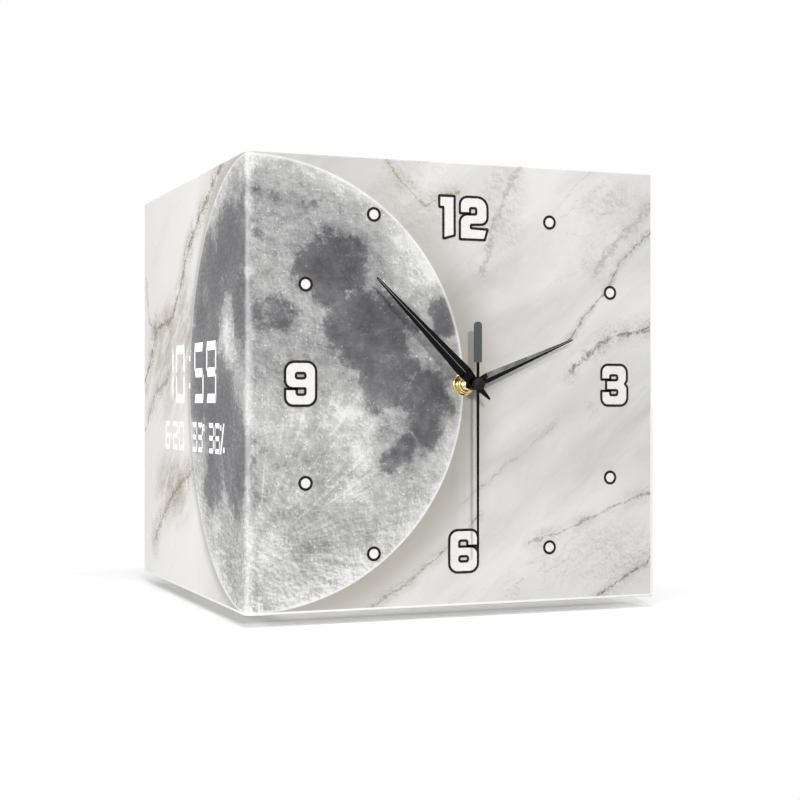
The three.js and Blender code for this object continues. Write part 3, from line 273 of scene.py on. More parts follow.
BRIGHT_SPOTS = (
    # centre u and v, reach, brightness
    (-0.44, 0.3, 0.3, 0.48),
    (-1.04, 0.64, 0.12, 0.48),
    (0.62, -0.22, 0.24, 0.224),
    (0.68, -0.2, 0.1, 0.288),
    (0.8, -0.45, 0.15, 0.288),
    (0.38, -0.24, 0.1, 0.32),
    (0.12, -1.02, 0.3, 0.256),
    (1.16, 0.72, 0.22, 0.32),
)
CRATERS = ((5.0, 0.16, 0.1), (14.0, 0.28, 0.13), (38.0, 0.34, 0.2))  # density, largest radius, depth
CRATER_SMALLEST = 0.05
CRATER_RARITY = 4.0  # the higher, the fewer large craters
CRATER_SUN = Vector((0.8, 0.6, 0.0))
RELIEF_STEP = (0.005, 0.006, 0.0)  # towards the light on the hills
RAY_CENTRE = (0.08, -1.1, 0.0)
RAY_STRETCH = (9.0, 0.8)  # of the streaks, round their centre and outwards
PLAIN_TONE = -0.5
HIGHLAND_TONE = 0.68
SHORE_RAGGED = 2.0

# Steps of the moon's print: value at the start, value at the end, result at the start, result at the end
PLAIN_FALL = (0.3, 1.35)
SHORE = (0.3, 0.55, 0.0, 0.5)
SHALLOWS = (-0.3, 1.0, 0.0, 0.5)
HIGHLAND = (0.0, 1.0, 1.0, 0.3)
HILLY = (-1.4, -0.3, 0.95, 0.4)
BOWL = (0.8, 1.05, -1.0, 0.0)
FLANK_RISE = (0.9, 1.1)
FLANK_FALL = (1.1, 1.6, 0.6, 0.0)
RIM_RISE = (0.75, 1.0)
RIM_FALL = (1.0, 1.4, 0.35, 0.0)
CLUSTERED = (0.42, 0.6)
SPECKLED = (0.58, 0.7, 0.0, 0.4)
FOOT_LIGHT = (-1.2, 0.1, 0.06, 0.0)
LIMB_LIGHT = (0.86, 1.0, 0.0, 0.16)
STREAKED = (0.45, 0.8)
RAY_FADE = (0.3, 1.8, 0.3, 0.0)
RAY_START = (0.0, 0.5)
GRAVEL_WEIGHTS = (1.1, 0.1)  # on the display wing and on the dial wing
DISPLAY_GRAIN = 0.45  # stretch of the grain across the display wing
WING_CHANGE = 0.2  # half-width of the change from one wing to the other

# Noise of the moon's print: scale, detail, roughness
MOON_GRAIN = ((1.7, 4.0, 0.5, 0.8), (9.0, 9.0, 0.67, 0.66), (60.0, 4.0, 0.8, 0.22))  # and weight
PLAIN_WANDER = (3.2, 6.0, 0.6)
PLAIN_WANDER_REACH = 0.34
RAGGED = (6.0, 14.0, 0.8)
GRAVEL = (40.0, 5.0, 0.85)
HILLS = (20.0, 5.0, 0.75)
BRIGHT_GROUND = (9.0, 8.0, 0.7)
CLUSTERS = (5.0, 6.0, 0.7)
SPECKS = (50.0, 3.0, 0.6)
STREAKS = (2.0, 5.0, 0.65)

# Marble of the print, in the same units
VEIN_TURN = math.radians(-36)
VEINS = (
    # points from left to right, width of the dark line, strength, share of brown
    (
        ((-2.95, 0.05), (-2.56, 0.44), (-2.0, 0.54), (-1.8, 0.72), (-1.5, 1.02), (-0.9, 1.36), (-0.5, 1.55)),
        0.03, 1.0, 1.0,
    ),
    (((-2.6, -1.2), (-2.1, -0.86), (-1.4, -0.6)), 0.035, 0.8, 1.0),
    (((-3.0, -0.35), (-2.6, -0.05), (-2.2, 0.05)), 0.02, 0.8, 0.8),
    (((-2.95, 0.9), (-2.8, 0.5), (-2.56, 0.44)), 0.016, 0.7, 0.6),
    (((2.35, 0.1), (2.52, 0.24), (2.66, 0.35), (3.0, 0.42)), 0.024, 0.8, 0.25),
    (((2.3, 0.3), (2.52, 0.55), (2.74, 0.84), (3.0, 1.14)), 0.008, 0.85, 0.15),
    (((2.54, 0.8), (2.76, 1.06), (3.0, 1.3)), 0.045, 0.35, 0.15),
    (((2.04, -1.11), (2.48, -0.93), (2.66, -0.86), (3.0, -0.78)), 0.016, 0.6, 0.25),
    (((2.5, -1.5), (2.72, -1.38), (3.0, -1.22)), 0.01, 0.85, 0.2),
    (((1.5, -0.8), (1.92, -0.54), (2.25, -0.26)), 0.008, 0.35, 0.5),
    (((0.85, -1.5), (1.2, -1.28), (1.62, -0.9)), 0.012, 0.6, 0.6),
    (((0.95, 1.5), (1.25, 1.2), (1.5, 1.3)), 0.012, 0.6, 1.0),
    (((1.66, 0.8), (1.8, 1.2), (1.95, 1.5)), 0.035, 0.4, 0.2),
)
WARM_GROUND = (
    # centre u and v, half-width, half-height of the beige ground
    (-2.15, 0.2, 0.75, 0.5),
    (-2.0, -0.75, 0.7, 0.32),
    (-1.62, 0.4, 0.34, 0.5),
    (1.2, 1.2, 0.35, 0.35),
    (1.8, 1.2, 0.22, 0.4),
    (2.66, 1.3, 0.34, 0.2),
    (2.7, -1.2, 0.5, 0.28),
)
CLOUD_GREYS = ((0.3, "#c5c3c4"), (0.46, "#d7d6d4"), (0.62, "#e3e2e0"))
MARBLE_WHITE = "#f4f3f1"
DISPLAY_BEIGE = "#94806a"
DIAL_BEIGE = "#c6c2bd"
VEIN_HALO = ("#a9a5a6", "#b3a38c")  # of a grey and of a brown vein
VEIN_GRAIN = ("#8a8688", "#6d583a")
VEIN_CORE = ("#6d686a", "#6a543a")
VEIN_GILT = "#e3d8bb"
HAIR_GREY = "#8f8a88"
LIMB_SHADE = "#9c968a"
# painted highlight along the bend
BEND_HIGHLIGHT_WHITE = "#f0f0f0"
# bare white strip at the sides and foot, which also paints the highlight of the polished edge
EDGE_HIGHLIGHT_WHITE = "#f6f6f5"
CLOUD_STRETCH = (0.45, 1.5, 1.0)
FIBRE_STRETCH = (2.0, 14.0, 1.0)
HALO_REACH = 6  # in widths of the dark line
CARVING_DEPTH = 2.2

# Steps of the marble's print
WHITE_WING = (-0.6, -1.4, 0.0, 0.8)
WARM_FALL = (0.1, 1.3, 1.0, 0.0)
PATCHED = (0.36, 0.6, 0.08, 0.65)
SPECKED = (0.34, 0.62)
CLUMPED = (0.36, 0.64, 0.3, 2.2)
BROKEN = (0.4, 0.6, 0.1, 1.0)
GRAIN_DOTS = (0.52, 0.62, 0.0)
GRAIN_STRENGTH = (0.6, 0.35)  # of a grey vein, and added for a brown one
GILT_DOTS = (0.34, 0.42)
GILT_STRENGTH = 0.8
CORE_REACH = (0.2, 0.8)  # in widths of the dark line
HAIR_FALL = (0.002, 0.014, 0.4, 0.0)
HAIR_PATCHED = (0.5, 0.7)
DIAL_SHADE = (1.0, 1.25, 0.75, 0.0)  # along the moon's edge
DIAL_SHADE_UP = (0.4, 1.2, 1.0, 0.4)
DISPLAY_SHADE = (1.0, 1.08, 0.6, 0.0)
PAINTED_BEND_HIGHLIGHT = (0.0, 0.06, 0.3, 0.0)  # painted highlight along the bend of the sheet
# bare white strip at the sides and foot that paints the polished edge's highlight; the top edge has none
EDGE_HIGHLIGHT_STRIP = (0.016, 0.02, 1.0, 0.0)
PRINT_GLOSS = (0.3, 0.75, 0.38, 0.46)

# Noise of the marble's print: scale, detail, roughness, distortion
CLOUDS = (1.3, 8.0, 0.6, 0.5)
FIBRES = (3.0, 6.0, 0.65)
PATCHES = (5.0, 8.0, 0.7)
VEIN_WANDER = (2.6, 9.0, 0.62)
VEIN_WANDER_REACH = 0.16
VEIN_SPECKS = (34.0, 5.0, 0.7)
CLUMPS = (8.0, 5.0, 0.7)
GRANULES = (60.0, 4.0, 0.75)
BREAKS = (4.0, 6.0, 0.65)
HAIRS = (2.6, 9.0, 0.6, 0.7)
HAIR_PATCHES = (1.1, 3.0, 0.5)
CARVING = (16.0, 6.0, 0.78)
HAZE = (9.0, 5.0, 0.6)
SHEET_WAVES = (1.4, 2.0, 0.4)

# Noise of the other materials: scale, detail, roughness, distortion
FLOW_MARKS = (28.0, 5.0, 0.6, 0.6)
TOOL_MARKS = (60.0, 6.0, 0.7)
TARNISH = (90.0, 4.0, 0.6)
ORANGE_PEEL = (700.0, 3.0, 0.5)
PAINT_CLOUD = (60.0, 4.0, 0.6)
SOFT_CLOUD = (70.0, 4.0, 0.6)
TRACKS = (240.0, 1.0, 0.3)
COPPER_CLOUD = (300.0, 4.0, 0.6)
WRAP_CLOUD = (120.0, 4.0, 0.6)
GLOW = (350.0, 3.0, 0.6)
INK_COVER = (420.0, 5.0, 0.6)
PAD_GRID = 0.0012
PAD_DENSITY = 260.0
WIRE_TURNS = {"Scale": 1100.0, "Distortion": 0.4}
WRAP_BAND = 0.1328  # x of the seam between the two colours, in metres
WRAP_BLUR = 0.0002

# Floor, light and camera, in metres
FLOOR_GREY = 0.5
FLOOR_SEEN = 1.2
FLOOR_HALF = 6.0
FLOOR_GAP = 8  # millimetres under the clock
FLOOR_AT = -(HALF + FLOOR_GAP) * MM
FLOOR_NEAR = 0.28  # within this reach the floor shows shadows
FLOOR_FAR = 0.42
WORLD_LIGHT = 0.21
DIAL_MIDDLE = (DIAL_AT * MM, -DEPTH * MM, 0.0)
DISPLAY_MIDDLE = (-DEPTH * MM, DISPLAY_AT * MM, 0.0)
HOUR_MIDDLE = (0.158, -0.049, 0.0152)
LAMPS = {
    # aim, direction, distance, width and height, watts
    "key": (DIAL_MIDDLE, (-0.238, -0.944, 0.227), 1.7, (0.07, 0.07), 12.0),
    "top": (HOUR_MIDDLE, (0.2235, -0.8083, 0.5449), 1.6, (0.34, 0.14), 5.6),
    "back": ((0.09, 0.09, 0.0), (0.76, 0.63, 0.15), 1.5, (0.5, 0.5), 11.0),
    "above": ((0.09, -0.1, -0.15), (-0.12, -0.25, 0.96), 1.6, (0.6, 0.6), 9.0),
    "left": (DISPLAY_MIDDLE, (-0.96, -0.276, 0.1), 1.2, (0.8, 0.8), 11.8),
}
CAMERA_AT = Vector((-0.31518, -1.02184, -0.01296))
CAMERA_AIM = Vector((0.07464, -0.032, -0.010575))
CAMERA_LENS = 71.69


# Colours
def linear(code):
    """Linear colour of a hex code."""
    shares = [int(code[i : i + 2], 16) / 255 for i in (1, 3, 5)]
    return tuple(s / 12.92 if s <= 0.04045 else ((s + 0.055) / 1.055) ** 2.4 for s in shares) + (1.0,)


def scaled(code, share):
    """A colour made darker or lighter."""
    return tuple(min(1.0, part * share) for part in linear(code)[:3]) + (1.0,)


def between(first, second, share):
    """A colour on the way from one to another."""
    return tuple(a + (b - a) * share for a, b in zip(linear(first), linear(second)))


# Shader graphs
NUMBER_RESULTS = ("LENGTH", "DISTANCE", "DOT_PRODUCT")


class Value:
    """A number, vector or colour in a shader graph. Sums with it add nodes to the graph."""

    def __init__(self, graph, socket):
        self.graph = graph
        self.socket = socket

    def do(self, operation, *others):
        """An operation of numbers, or of vectors where this value isn't a number."""
        on_numbers = self.socket.type == "VALUE"
        kind = "Math" if on_numbers else "VectorMath"
        output = "Value" if on_numbers or operation in NUMBER_RESULTS else "Vector"
        return self.graph.node(kind, dict(enumerate((self, *others))), output, operation=operation)

    def __add__(self, other):
        return self.do("ADD", other)

    def __sub__(self, other):
        return self.do("SUBTRACT", other)

    def __mul__(self, other):
        return self.do("MULTIPLY", other)

    def __truediv__(self, other):
        return self.do("DIVIDE", other)

    def beside(self, output):
        """Another output of the same node."""
        return Value(self.graph, self.socket.node.outputs[output])

    def part(self, axis):
        return self.graph.node("SeparateXYZ", {"Vector": self}, axis)

    def step(self, low, high, start=0.0, end=1.0):
        """A soft step from start, at low, to end, at high."""
        inputs = {"Value": self, "From Min": low, "From Max": high, "To Min": start, "To Max": end}
        return self.graph.node("MapRange", inputs, interpolation_type="SMOOTHSTEP")

    def noise(self, scale, detail, roughness, distortion=0.0):
        inputs = {"Scale": scale, "Detail": detail, "Roughness": roughness, "Distortion": distortion}
        return self.graph.node("TexNoise", {"Vector": self, **inputs})

    def cells(self, density, **settings):
        """Distance to the nearest of many scattered points."""
        return self.graph.node("TexVoronoi", {"Vector": self, "Scale": density}, "Distance", **settings)

    def mix(self, first, second):
        """A colour between two, with this value as the share of the second."""
        return self.graph.node("Mix", {0: self, 6: first, 7: second}, 2, data_type="RGBA")

    def ramp(self, stops):
        """A colour from stops of a position and a hex code."""
        made = self.graph.node("ValToRGB", {"Fac": self}, "Color")
        elements = made.socket.node.color_ramp.elements
        while len(elements) < len(stops):
            elements.new(1.0)
        for element, (position, code) in zip(elements, stops):
            element.position = position
            element.color = linear(code)
        return made


class Graph:
    """The nodes of a material or of the world."""

    def __init__(self, owner):
        owner.use_nodes = True
        self.tree = owner.node_tree

    def node(self, kind, inputs, output=0, **settings):
        """One output of a new node, whose inputs are values or constants."""
        made = self.tree.nodes.new("ShaderNode" + kind)
        for name, value in settings.items():
            setattr(made, name, value)
        for key, value in inputs.items():
            self.feed(made.inputs[key], value)
        return Value(self, made.outputs[output])

    def feed(self, socket, value):
        if isinstance(value, Value):
            self.tree.links.new(value.socket, socket)
        else:
            socket.default_value = value


class Shader(Graph):
    """A material under construction, with a principled surface at its end."""

    def __init__(self, name, constants):
        self.material = bpy.data.materials.new(name)
        super().__init__(self.material)
        self.surface = self.tree.nodes["Principled BSDF"]
        self.place = self.node("TexCoord", {}, "Object")
        for socket, value in constants.items():
            self.out(socket, value)

    def out(self, socket, value):
        self.feed(self.surface.inputs[socket], value)

    def bump(self, height, distance, strength):
        inputs = {"Height": height, "Distance": distance, "Strength": strength}
        self.out("Normal", self.node("Bump", inputs, "Normal"))


def fold(operation, values):
    """One value from many, such as the largest."""
    return functools.reduce(lambda first, second: first.do(operation, second), values)


# Plain materials
def moulded(name, code, roughness, spread=0.05, grain=900.0):
    """Moulded plastic: faint flow marks, a fine grain and uneven gloss."""
    shader = Shader(name, {"IOR": 1.5})
    flow = shader.place.noise(*FLOW_MARKS)
    shader.out("Base Color", flow.mix(scaled(code, 1 - spread), scaled(code, 1 + spread)))
    shader.out("Roughness", flow.step(0.2, 0.8, roughness - 0.06, roughness + 0.08))
    shader.bump(shader.place.noise(grain, 3.0, 0.6), 0.00012, 0.35)
    return shader.material


def machined(name, code, roughness, stretch, darker, tarnish):
    """Bare metal with fine tool marks along one direction and a little tarnish."""
    shader = Shader(name, {"Metallic": 1.0})
    marks = (shader.place * stretch).noise(*TOOL_MARKS)
    worn = shader.place.noise(*TARNISH).step(0.45, 0.8, 0.0, tarnish)
    shader.out("Base Color", worn.mix(linear(code), linear(darker)))
    shader.out("Roughness", marks.step(0.25, 0.75, roughness * 0.7, roughness * 1.4))
    shader.bump(marks, 0.00008, 0.25)
    return shader.material


def painted(name, code, roughness, gloss):
    """Thin satin paint on stamped metal, with a slight orange peel."""
    shader = Shader(name, {"Specular IOR Level": gloss})
    cloud = shader.place.noise(*PAINT_CLOUD)
    shader.out("Base Color", cloud.mix(linear(code), scaled(code, 1.35)))
    shader.out("Roughness", cloud.step(0.3, 0.7, roughness - 0.05, roughness + 0.07))
    shader.bump(shader.place.noise(*ORANGE_PEEL), 0.00005, 0.3)
    return shader.material


def soft(name, code, pores):
    """Foam or rubber: matt, with open pores that carry painted shade."""
    shader = Shader(name, {"Specular IOR Level": 0.25})
    distance = shader.place.cells(pores)
    cloud = shader.place.noise(*SOFT_CLOUD)
    ground = cloud.mix(scaled(code, 0.85), linear(code))
    # the pores are painted darker: painted shade inside the pits
    shader.out("Base Color", distance.step(0.1, 0.5, 0.6, 1.0).mix(scaled(code, 0.6), ground))
    shader.out("Roughness", cloud.step(0.3, 0.7, 0.75, 0.95))
    shader.bump(distance, 0.0002, 0.5)
    return shader.material


def circuit(name):
    """Solder mask over copper tracks, with tinned pads."""
    shader = Shader(name, {"IOR": 1.52})
    distance = shader.place.do("SNAP", (PAD_GRID, PAD_GRID, PAD_GRID)).cells(PAD_DENSITY)
    track = shader.place.noise(*TRACKS).step(0.5, 0.53)
    mask = track.mix(linear("#14452c"), linear("#246b45"))
    shader.out("Base Color", distance.step(0.08, 0.14, 1.0, 0.0).mix(mask, linear("#b9b6a8")))
    shader.out("Roughness", track.step(0.0, 1.0, 0.32, 0.45))
    shader.bump(track, 0.00005, 0.4)
    return shader.material


def winding(name):
    """Enamelled copper wire, turn beside turn along the coil, with painted shade in the grooves between
    turns.
    """
    shader = Shader(name, {"Metallic": 0.85, "Coat Weight": 0.5})
    turns = shader.node("TexWave", {"Vector": shader.place, **WIRE_TURNS}, 1, bands_direction="X")
    cloud = shader.place.noise(*COPPER_CLOUD)
    wire = cloud.mix(linear("#8a4522"), linear("#c47a45"))
    # the grooves between the turns are painted dark: painted shade
    shader.out("Base Color", turns.mix(linear("#3c1a0c"), wire))
    shader.out("Roughness", cloud.step(0.3, 0.7, 0.25, 0.4))
    shader.bump(turns, 0.0001, 0.6)
    return shader.material


def wrapped(name, top, body):
    """Plain two-colour wrap of a dry cell, along x, with a pale line between the colours."""
    shader = Shader(name, {"Coat Weight": 0.4, "Coat Roughness": 0.15, "Metallic": 0.35})
    along = shader.place.part("X")
    cloud = shader.place.noise(*WRAP_CLOUD)
    colour = along.step(WRAP_BAND - WRAP_BLUR, WRAP_BAND + WRAP_BLUR).mix(linear(body), linear(top))
    seam = (along - WRAP_BAND).do("ABSOLUTE").step(0.0003, 0.0006, 0.7, 0.0)
    colour = seam.mix(colour, linear("#d8d8d4"))
    shader.out("Base Color", cloud.step(0.3, 0.8, 0.0, 0.18).mix(colour, linear("#0d1a30")))
    shader.out("Roughness", cloud.step(0.3, 0.7, 0.28, 0.42))
    shader.bump(cloud, 0.0001, 0.15)
    return shader.material


def lit(name):
    """Bright diffused light behind the print, a little weaker at random spots."""
    constants = {"Base Color": (0.45, 0.45, 0.45, 1.0), "Roughness": 0.25, "Emission Strength": 0.8}
    shader = Shader(name, constants)
    shader.out("Emission Color", shader.place.noise(*GLOW).ramp(((0.2, "#eef1f4"), (0.7, "#ffffff"))))
    return shader.material


def ink(name, code, lighter):
    """Printed ink: slightly uneven cover under the gloss."""
    shader = Shader(name, {"Specular IOR Level": 0.25})
    cover = shader.place.noise(*INK_COVER)
    shader.out("Base Color", cover.step(0.3, 0.75).mix(linear(code), linear(lighter)))
    shader.out("Roughness", cover.step(0.3, 0.7, 0.12, 0.22))
    shader.bump(cover, 0.00003, 0.2)
    return shader.material


# Print of the face panel
def spread(spot, centre, radii):
    """Distance of a spot from a centre, as a share of two half-sizes."""
    return ((spot - (*centre, 0.0)) / (*radii, 1.0)).do("LENGTH")


def wander(spot, noise, reach):
    """A spot moved about by noise, which makes outlines ragged."""
    offset = spot.noise(*noise).beside("Color") - (0.5, 0.5, 0.5)
    return spot + offset * (reach, reach, 0.0)


def on_dial(spot, display, dial):
    """One value on the display wing that turns into another on the dial wing."""
    return spot.part("X").step(-WING_CHANGE, WING_CHANGE, display, dial)


def widened(spot):
    """Places for a grain that is coarser across the display wing."""
    return spot * spot.graph.node("CombineXYZ", {"X": on_dial(spot, DISPLAY_GRAIN, 1.0), "Y": 1.0})


def relief(spot, noise):
    """Shade of rough ground lit from one side, about zero."""
    return (spot - RELIEF_STEP).noise(*noise) - (spot + RELIEF_STEP).noise(*noise)


def craters(spot, density, largest):
    """Shade of bowl craters of mixed sizes, with the sun at the upper right."""
    distance = spot.cells(density, voronoi_dimensions="2D")
    share = spot.graph.node("SeparateColor", {"Color": distance.beside("Color")})
    radius = share.do("POWER", CRATER_RARITY) * largest + CRATER_SMALLEST
    ratio = distance / radius
    slope = (spot - distance.beside("Position")).do("DOT_PRODUCT", tuple(CRATER_SUN * density)) / radius
    flank = ratio.step(*FLANK_RISE) * ratio.step(*FLANK_FALL)
    rim = ratio.step(*RIM_RISE) * ratio.step(*RIM_FALL)
    return slope * (ratio.step(*BOWL) + flank) + rim


def plains_share(spot):
    """Share of dark plain at a spot, with ragged shores."""
    ragged = wander(spot, PLAIN_WANDER, PLAIN_WANDER_REACH)
    plains = []
    for u, v, wide, high, darkness in PLAINS:
        plains.append(spread(ragged, (u, v), (wide, high)).step(*PLAIN_FALL, darkness, 0.0))
    field = fold("MAXIMUM", plains) + (spot.noise(*RAGGED) - 0.5) * SHORE_RAGGED
    return field.step(*SHORE) + field.step(*SHALLOWS)


def moon_light(spot, reach):
    """Brightening of the moon: at its foot, towards its limb and along the rays of one young crater."""
    arm = spot - RAY_CENTRE
    radius = arm.do("LENGTH")
    bearing = arm.part("Y").do("ARCTAN2", arm.part("X"))
    round_centre, outwards = RAY_STRETCH
    fan = spot.graph.node("CombineXYZ", {"X": bearing * round_centre, "Y": radius * outwards})
    rays = fan.noise(*STREAKS).step(*STREAKED) * radius.step(*RAY_FADE) * radius.step(*RAY_START)
    return spot.part("Y").step(*FOOT_LIGHT) + reach.step(*LIMB_LIGHT) + rays


def moon_tone(spot, reach):
    """Tone of the moon's ground from 0, dark plains, to 1, bright crests."""
    plains = plains_share(spot)
    highland = plains.step(*HIGHLAND)
    tone = plains * PLAIN_TONE + HIGHLAND_TONE
    for *noise, weight in MOON_GRAIN:
        tone = tone + (spot.noise(*noise) - 0.5) * weight
    tone = tone + (widened(spot).noise(*GRAVEL) - 0.5) * on_dial(spot, *GRAVEL_WEIGHTS)
    tone = tone + relief(spot, HILLS) * highland * spot.part("Y").step(*HILLY)
    for density, largest, depth in CRATERS:
        tone = tone + craters(spot, density, largest) * highland * depth
    ground = spot.noise(*BRIGHT_GROUND)
    for u, v, size, brightness in BRIGHT_SPOTS:
        tone = tone + ground * spread(spot, (u, v), (size, size)).step(0.0, 1.0, brightness, 0.0)
    specks = spot.noise(*CLUSTERS).step(*CLUSTERED) * spot.noise(*SPECKS).step(*SPECKLED)
    return tone + specks + moon_light(spot, reach)


def vein_distance(spot, points):
    """Distance of a spot from a line through the points."""
    distances = []
    for (u0, v0), (u1, v1) in zip(points, points[1:]):
        run = Vector((u1 - u0, v1 - v0, 0.0))
        from_start = spot - (u0, v0, 0.0)
        along = from_start.do("DOT_PRODUCT", tuple(run / run.length_squared))
        held = spot.graph.node("Clamp", {"Value": along})
        foot = spot.graph.node("VectorMath", {0: tuple(run), "Scale": held}, operation="SCALE")
        distances.append(from_start.do("DISTANCE", foot))
    return fold("MINIMUM", distances)


def marble_colour(spot):
    """White marble with soft grey clouds, beige ground and thin veins that climb to the right."""
    turned = spot.graph.node("VectorRotate", {"Vector": spot, "Angle": VEIN_TURN}, rotation_type="Z_AXIS")
    drawn = turned * CLOUD_STRETCH
    colour = drawn.noise(*CLOUDS).ramp(CLOUD_GREYS)
    colour = spot.part("X").step(*WHITE_WING).mix(colour, linear(MARBLE_WHITE))
    warm_places = []
    for u, v, wide, high in WARM_GROUND:
        warm_places.append(spread(spot, (u, v), (wide, high)).step(*WARM_FALL))
    warm = fold("MAXIMUM", warm_places)
    patchy = drawn.noise(*PATCHES).step(*PATCHED)
    beige = on_dial(spot, 0.0, 1.0).mix(linear(DISPLAY_BEIGE), linear(DIAL_BEIGE))
    colour = (warm * patchy).mix(colour, beige)
    ragged = wander(spot, VEIN_WANDER, VEIN_WANDER_REACH)
    fibre = (turned * FIBRE_STRETCH).noise(*FIBRES)
    speck = spot.noise(*VEIN_SPECKS).step(*SPECKED)
    clump = spot.noise(*CLUMPS).step(*CLUMPED)
    granules = widened(spot).noise(*GRANULES)
    broken = spot.noise(*BREAKS).step(*BROKEN)
    grey_grain, brown_grain = GRAIN_STRENGTH
    core_start, core_end = CORE_REACH
    rough = warm
    for points, width, strength, brown in VEINS:
        distance = vein_distance(ragged, points)
        near = broken * distance.step(width * brown, width * HALO_REACH, strength, 0.0)
        rough = rough.do("MAXIMUM", near)
        colour = (near * fibre).mix(colour, between(*VEIN_HALO, brown))
        dots = near * granules.step(*GRAIN_DOTS, grey_grain + brown_grain * brown)
        colour = dots.mix(colour, between(*VEIN_GRAIN, brown))
        gilt = near * granules.step(*GILT_DOTS, brown * GILT_STRENGTH, 0.0)
        colour = gilt.mix(colour, linear(VEIN_GILT))
        line = (distance / clump).step(width * core_start, width * core_end, strength, 0.0)
        colour = (line * speck).mix(colour, between(*VEIN_CORE, brown))
    gap = (drawn.noise(*HAIRS) - 0.5).do("ABSOLUTE")
    hair = gap.step(*HAIR_FALL) * drawn.noise(*HAIR_PATCHES).step(*HAIR_PATCHED) * speck
    colour = hair.mix(colour, linear(HAIR_GREY))
    return colour * (relief(spot, CARVING) * rough * patchy * CARVING_DEPTH + 1.0)


def print_material():
    """Moon disc over marble, printed under clear glossy acrylic, with a painted highlight along the bend and
    a bare white strip at the sides and foot that also paints the highlight of the polished edge.
    """
    shader = Shader("panel_print", {"IOR": 1.49, "Specular IOR Level": 0.3})
    across = (shader.place.part("X") - shader.place.part("Y")) * PRINT_UNITS
    up = shader.place.part("Z") * PRINT_UNITS
    spot = shader.node("CombineXYZ", {"X": across, "Y": up})
    reach = spread(spot, MOON_CENTRE, MOON_RADII)
    moon = moon_tone(spot, reach).ramp(MOON_GREYS)
    moon = reach.step(*MOON_RIM).mix(moon, linear(RIM_PALE))
    dial_shade = reach.step(*DIAL_SHADE) * on_dial(spot, 0.0, 1.0) * up.step(*DIAL_SHADE_UP)
    display_shade = reach.step(*DISPLAY_SHADE) * on_dial(spot, 1.0, 0.0)
    marble = (dial_shade + display_shade).mix(marble_colour(spot), linear(LIMB_SHADE))
    colour = reach.step(*MOON_EDGE).mix(moon, marble)
    from_bend = across.do("ABSOLUTE")
    # Painted highlight along the bend of the sheet
    colour = from_bend.step(*PAINTED_BEND_HIGHLIGHT).mix(colour, linear(BEND_HIGHLIGHT_WHITE))
    from_side = from_bend * -1.0 + 2 * HALF * MM * PRINT_UNITS
    from_foot = up + HALF * MM * PRINT_UNITS
    # Bare white strip at the sides and foot, which also paints the highlight of the polished edge
    edge_highlight = from_side.do("MINIMUM", from_foot).step(*EDGE_HIGHLIGHT_STRIP)
    shader.out("Base Color", edge_highlight.mix(colour, linear(EDGE_HIGHLIGHT_WHITE)))
    shader.out("Roughness", spot.noise(*HAZE).step(*PRINT_GLOSS))
    shader.bump(spot.noise(*SHEET_WAVES), 0.0003, 0.1)
    return shader.material


# Meshes, in millimetres
def join_rings(bm, near, far):
    for i in range(max(len(near), len(far))):
        corners = (near[i % len(near)], near[(i + 1) % len(near)], far[(i + 1) % len(far)], far[i % len(far)])
        bm.faces.new(list(dict.fromkeys(corners)))


def close_rings(bm, rings):
    """Joins each ring to the next and the last to the first."""
    for i, far in enumerate(rings):
        join_rings(bm, rings[i - 1], far)
    bmesh.ops.recalc_face_normals(bm, faces=bm.faces)
    return bm


def ring(bm, forward, radii):
    """A ring of points about the forward axis, one for each radius."""
    points = []
    for i, radius in enumerate(radii):
        angle = math.tau * i / len(radii)
        points.append(bm.verts.new((radius * math.cos(angle), radius * math.sin(angle), forward)))
    return points


def lathe(profile, sides):
    """Turns (radius, forward) points about the forward axis. A closed profile makes a tube."""
    bm = bmesh.new()
    rings = [ring(bm, forward, [radius] * (sides if radius > 0 else 1)) for radius, forward in profile]
    for near, far in zip(rings, rings[1:]):
        join_rings(bm, near, far)
    bmesh.ops.remove_doubles(bm, verts=bm.verts, dist=DOUBLE)
    bmesh.ops.recalc_face_normals(bm, faces=bm.faces)
    return bm


def rounded(corners, steps=CORNER_STEPS):
    """Outline of (x, y, radius) corners, each rounded by an arc."""
    points = []
    for i, (x, y, radius) in enumerate(corners):
        corner = Vector((x, y))
        before = Vector(corners[i - 1][:2]) - corner
        after = Vector(corners[(i + 1) % len(corners)][:2]) - corner
        half = before.angle(after) / 2
        reach = min(radius / math.tan(half), before.length * CORNER_SHARE, after.length * CORNER_SHARE)
        middle = corner + (before.normalized() + after.normalized()).normalized() * (reach / math.cos(half))
        start = corner + before.normalized() * reach - middle
        end = corner + after.normalized() * reach - middle
        sweep = start.angle_signed(end)
        for k in range(steps + 1):
            points.append(tuple(middle + Matrix.Rotation(-sweep * k / steps, 2) @ start))
    return points


def circle(radius, sides):
    turns = [math.tau * i / sides for i in range(sides)]
    return [(radius * math.cos(turn), radius * math.sin(turn)) for turn in turns]


def plate(outlines, back, front, bm=None):
    """A flat plate with the given outline, whose further outlines are holes."""
    bm = bm or bmesh.new()
    edges = []
    loops = []
    for points in outlines:
        loop = [bm.verts.new((x, y, back)) for x, y in points]
        edges += [bm.edges.new((loop[i - 1], loop[i])) for i in range(len(loop))]
        loops.append(loop)
    filled = bmesh.ops.triangle_fill(bm, use_beauty=True, edges=edges)
    faces = [item for item in filled["geom"] if isinstance(item, bmesh.types.BMFace)]
    lifted = {vert: bm.verts.new((vert.co.x, vert.co.y, front)) for loop in loops for vert in loop}
    for face in faces:
        bm.faces.new([lifted[vert] for vert in face.verts])
    for loop in loops:
        for i, vert in enumerate(loop):
            bm.faces.new((loop[i - 1], vert, lifted[vert], lifted[loop[i - 1]]))
    bmesh.ops.recalc_face_normals(bm, faces=bm.faces)
    return bm


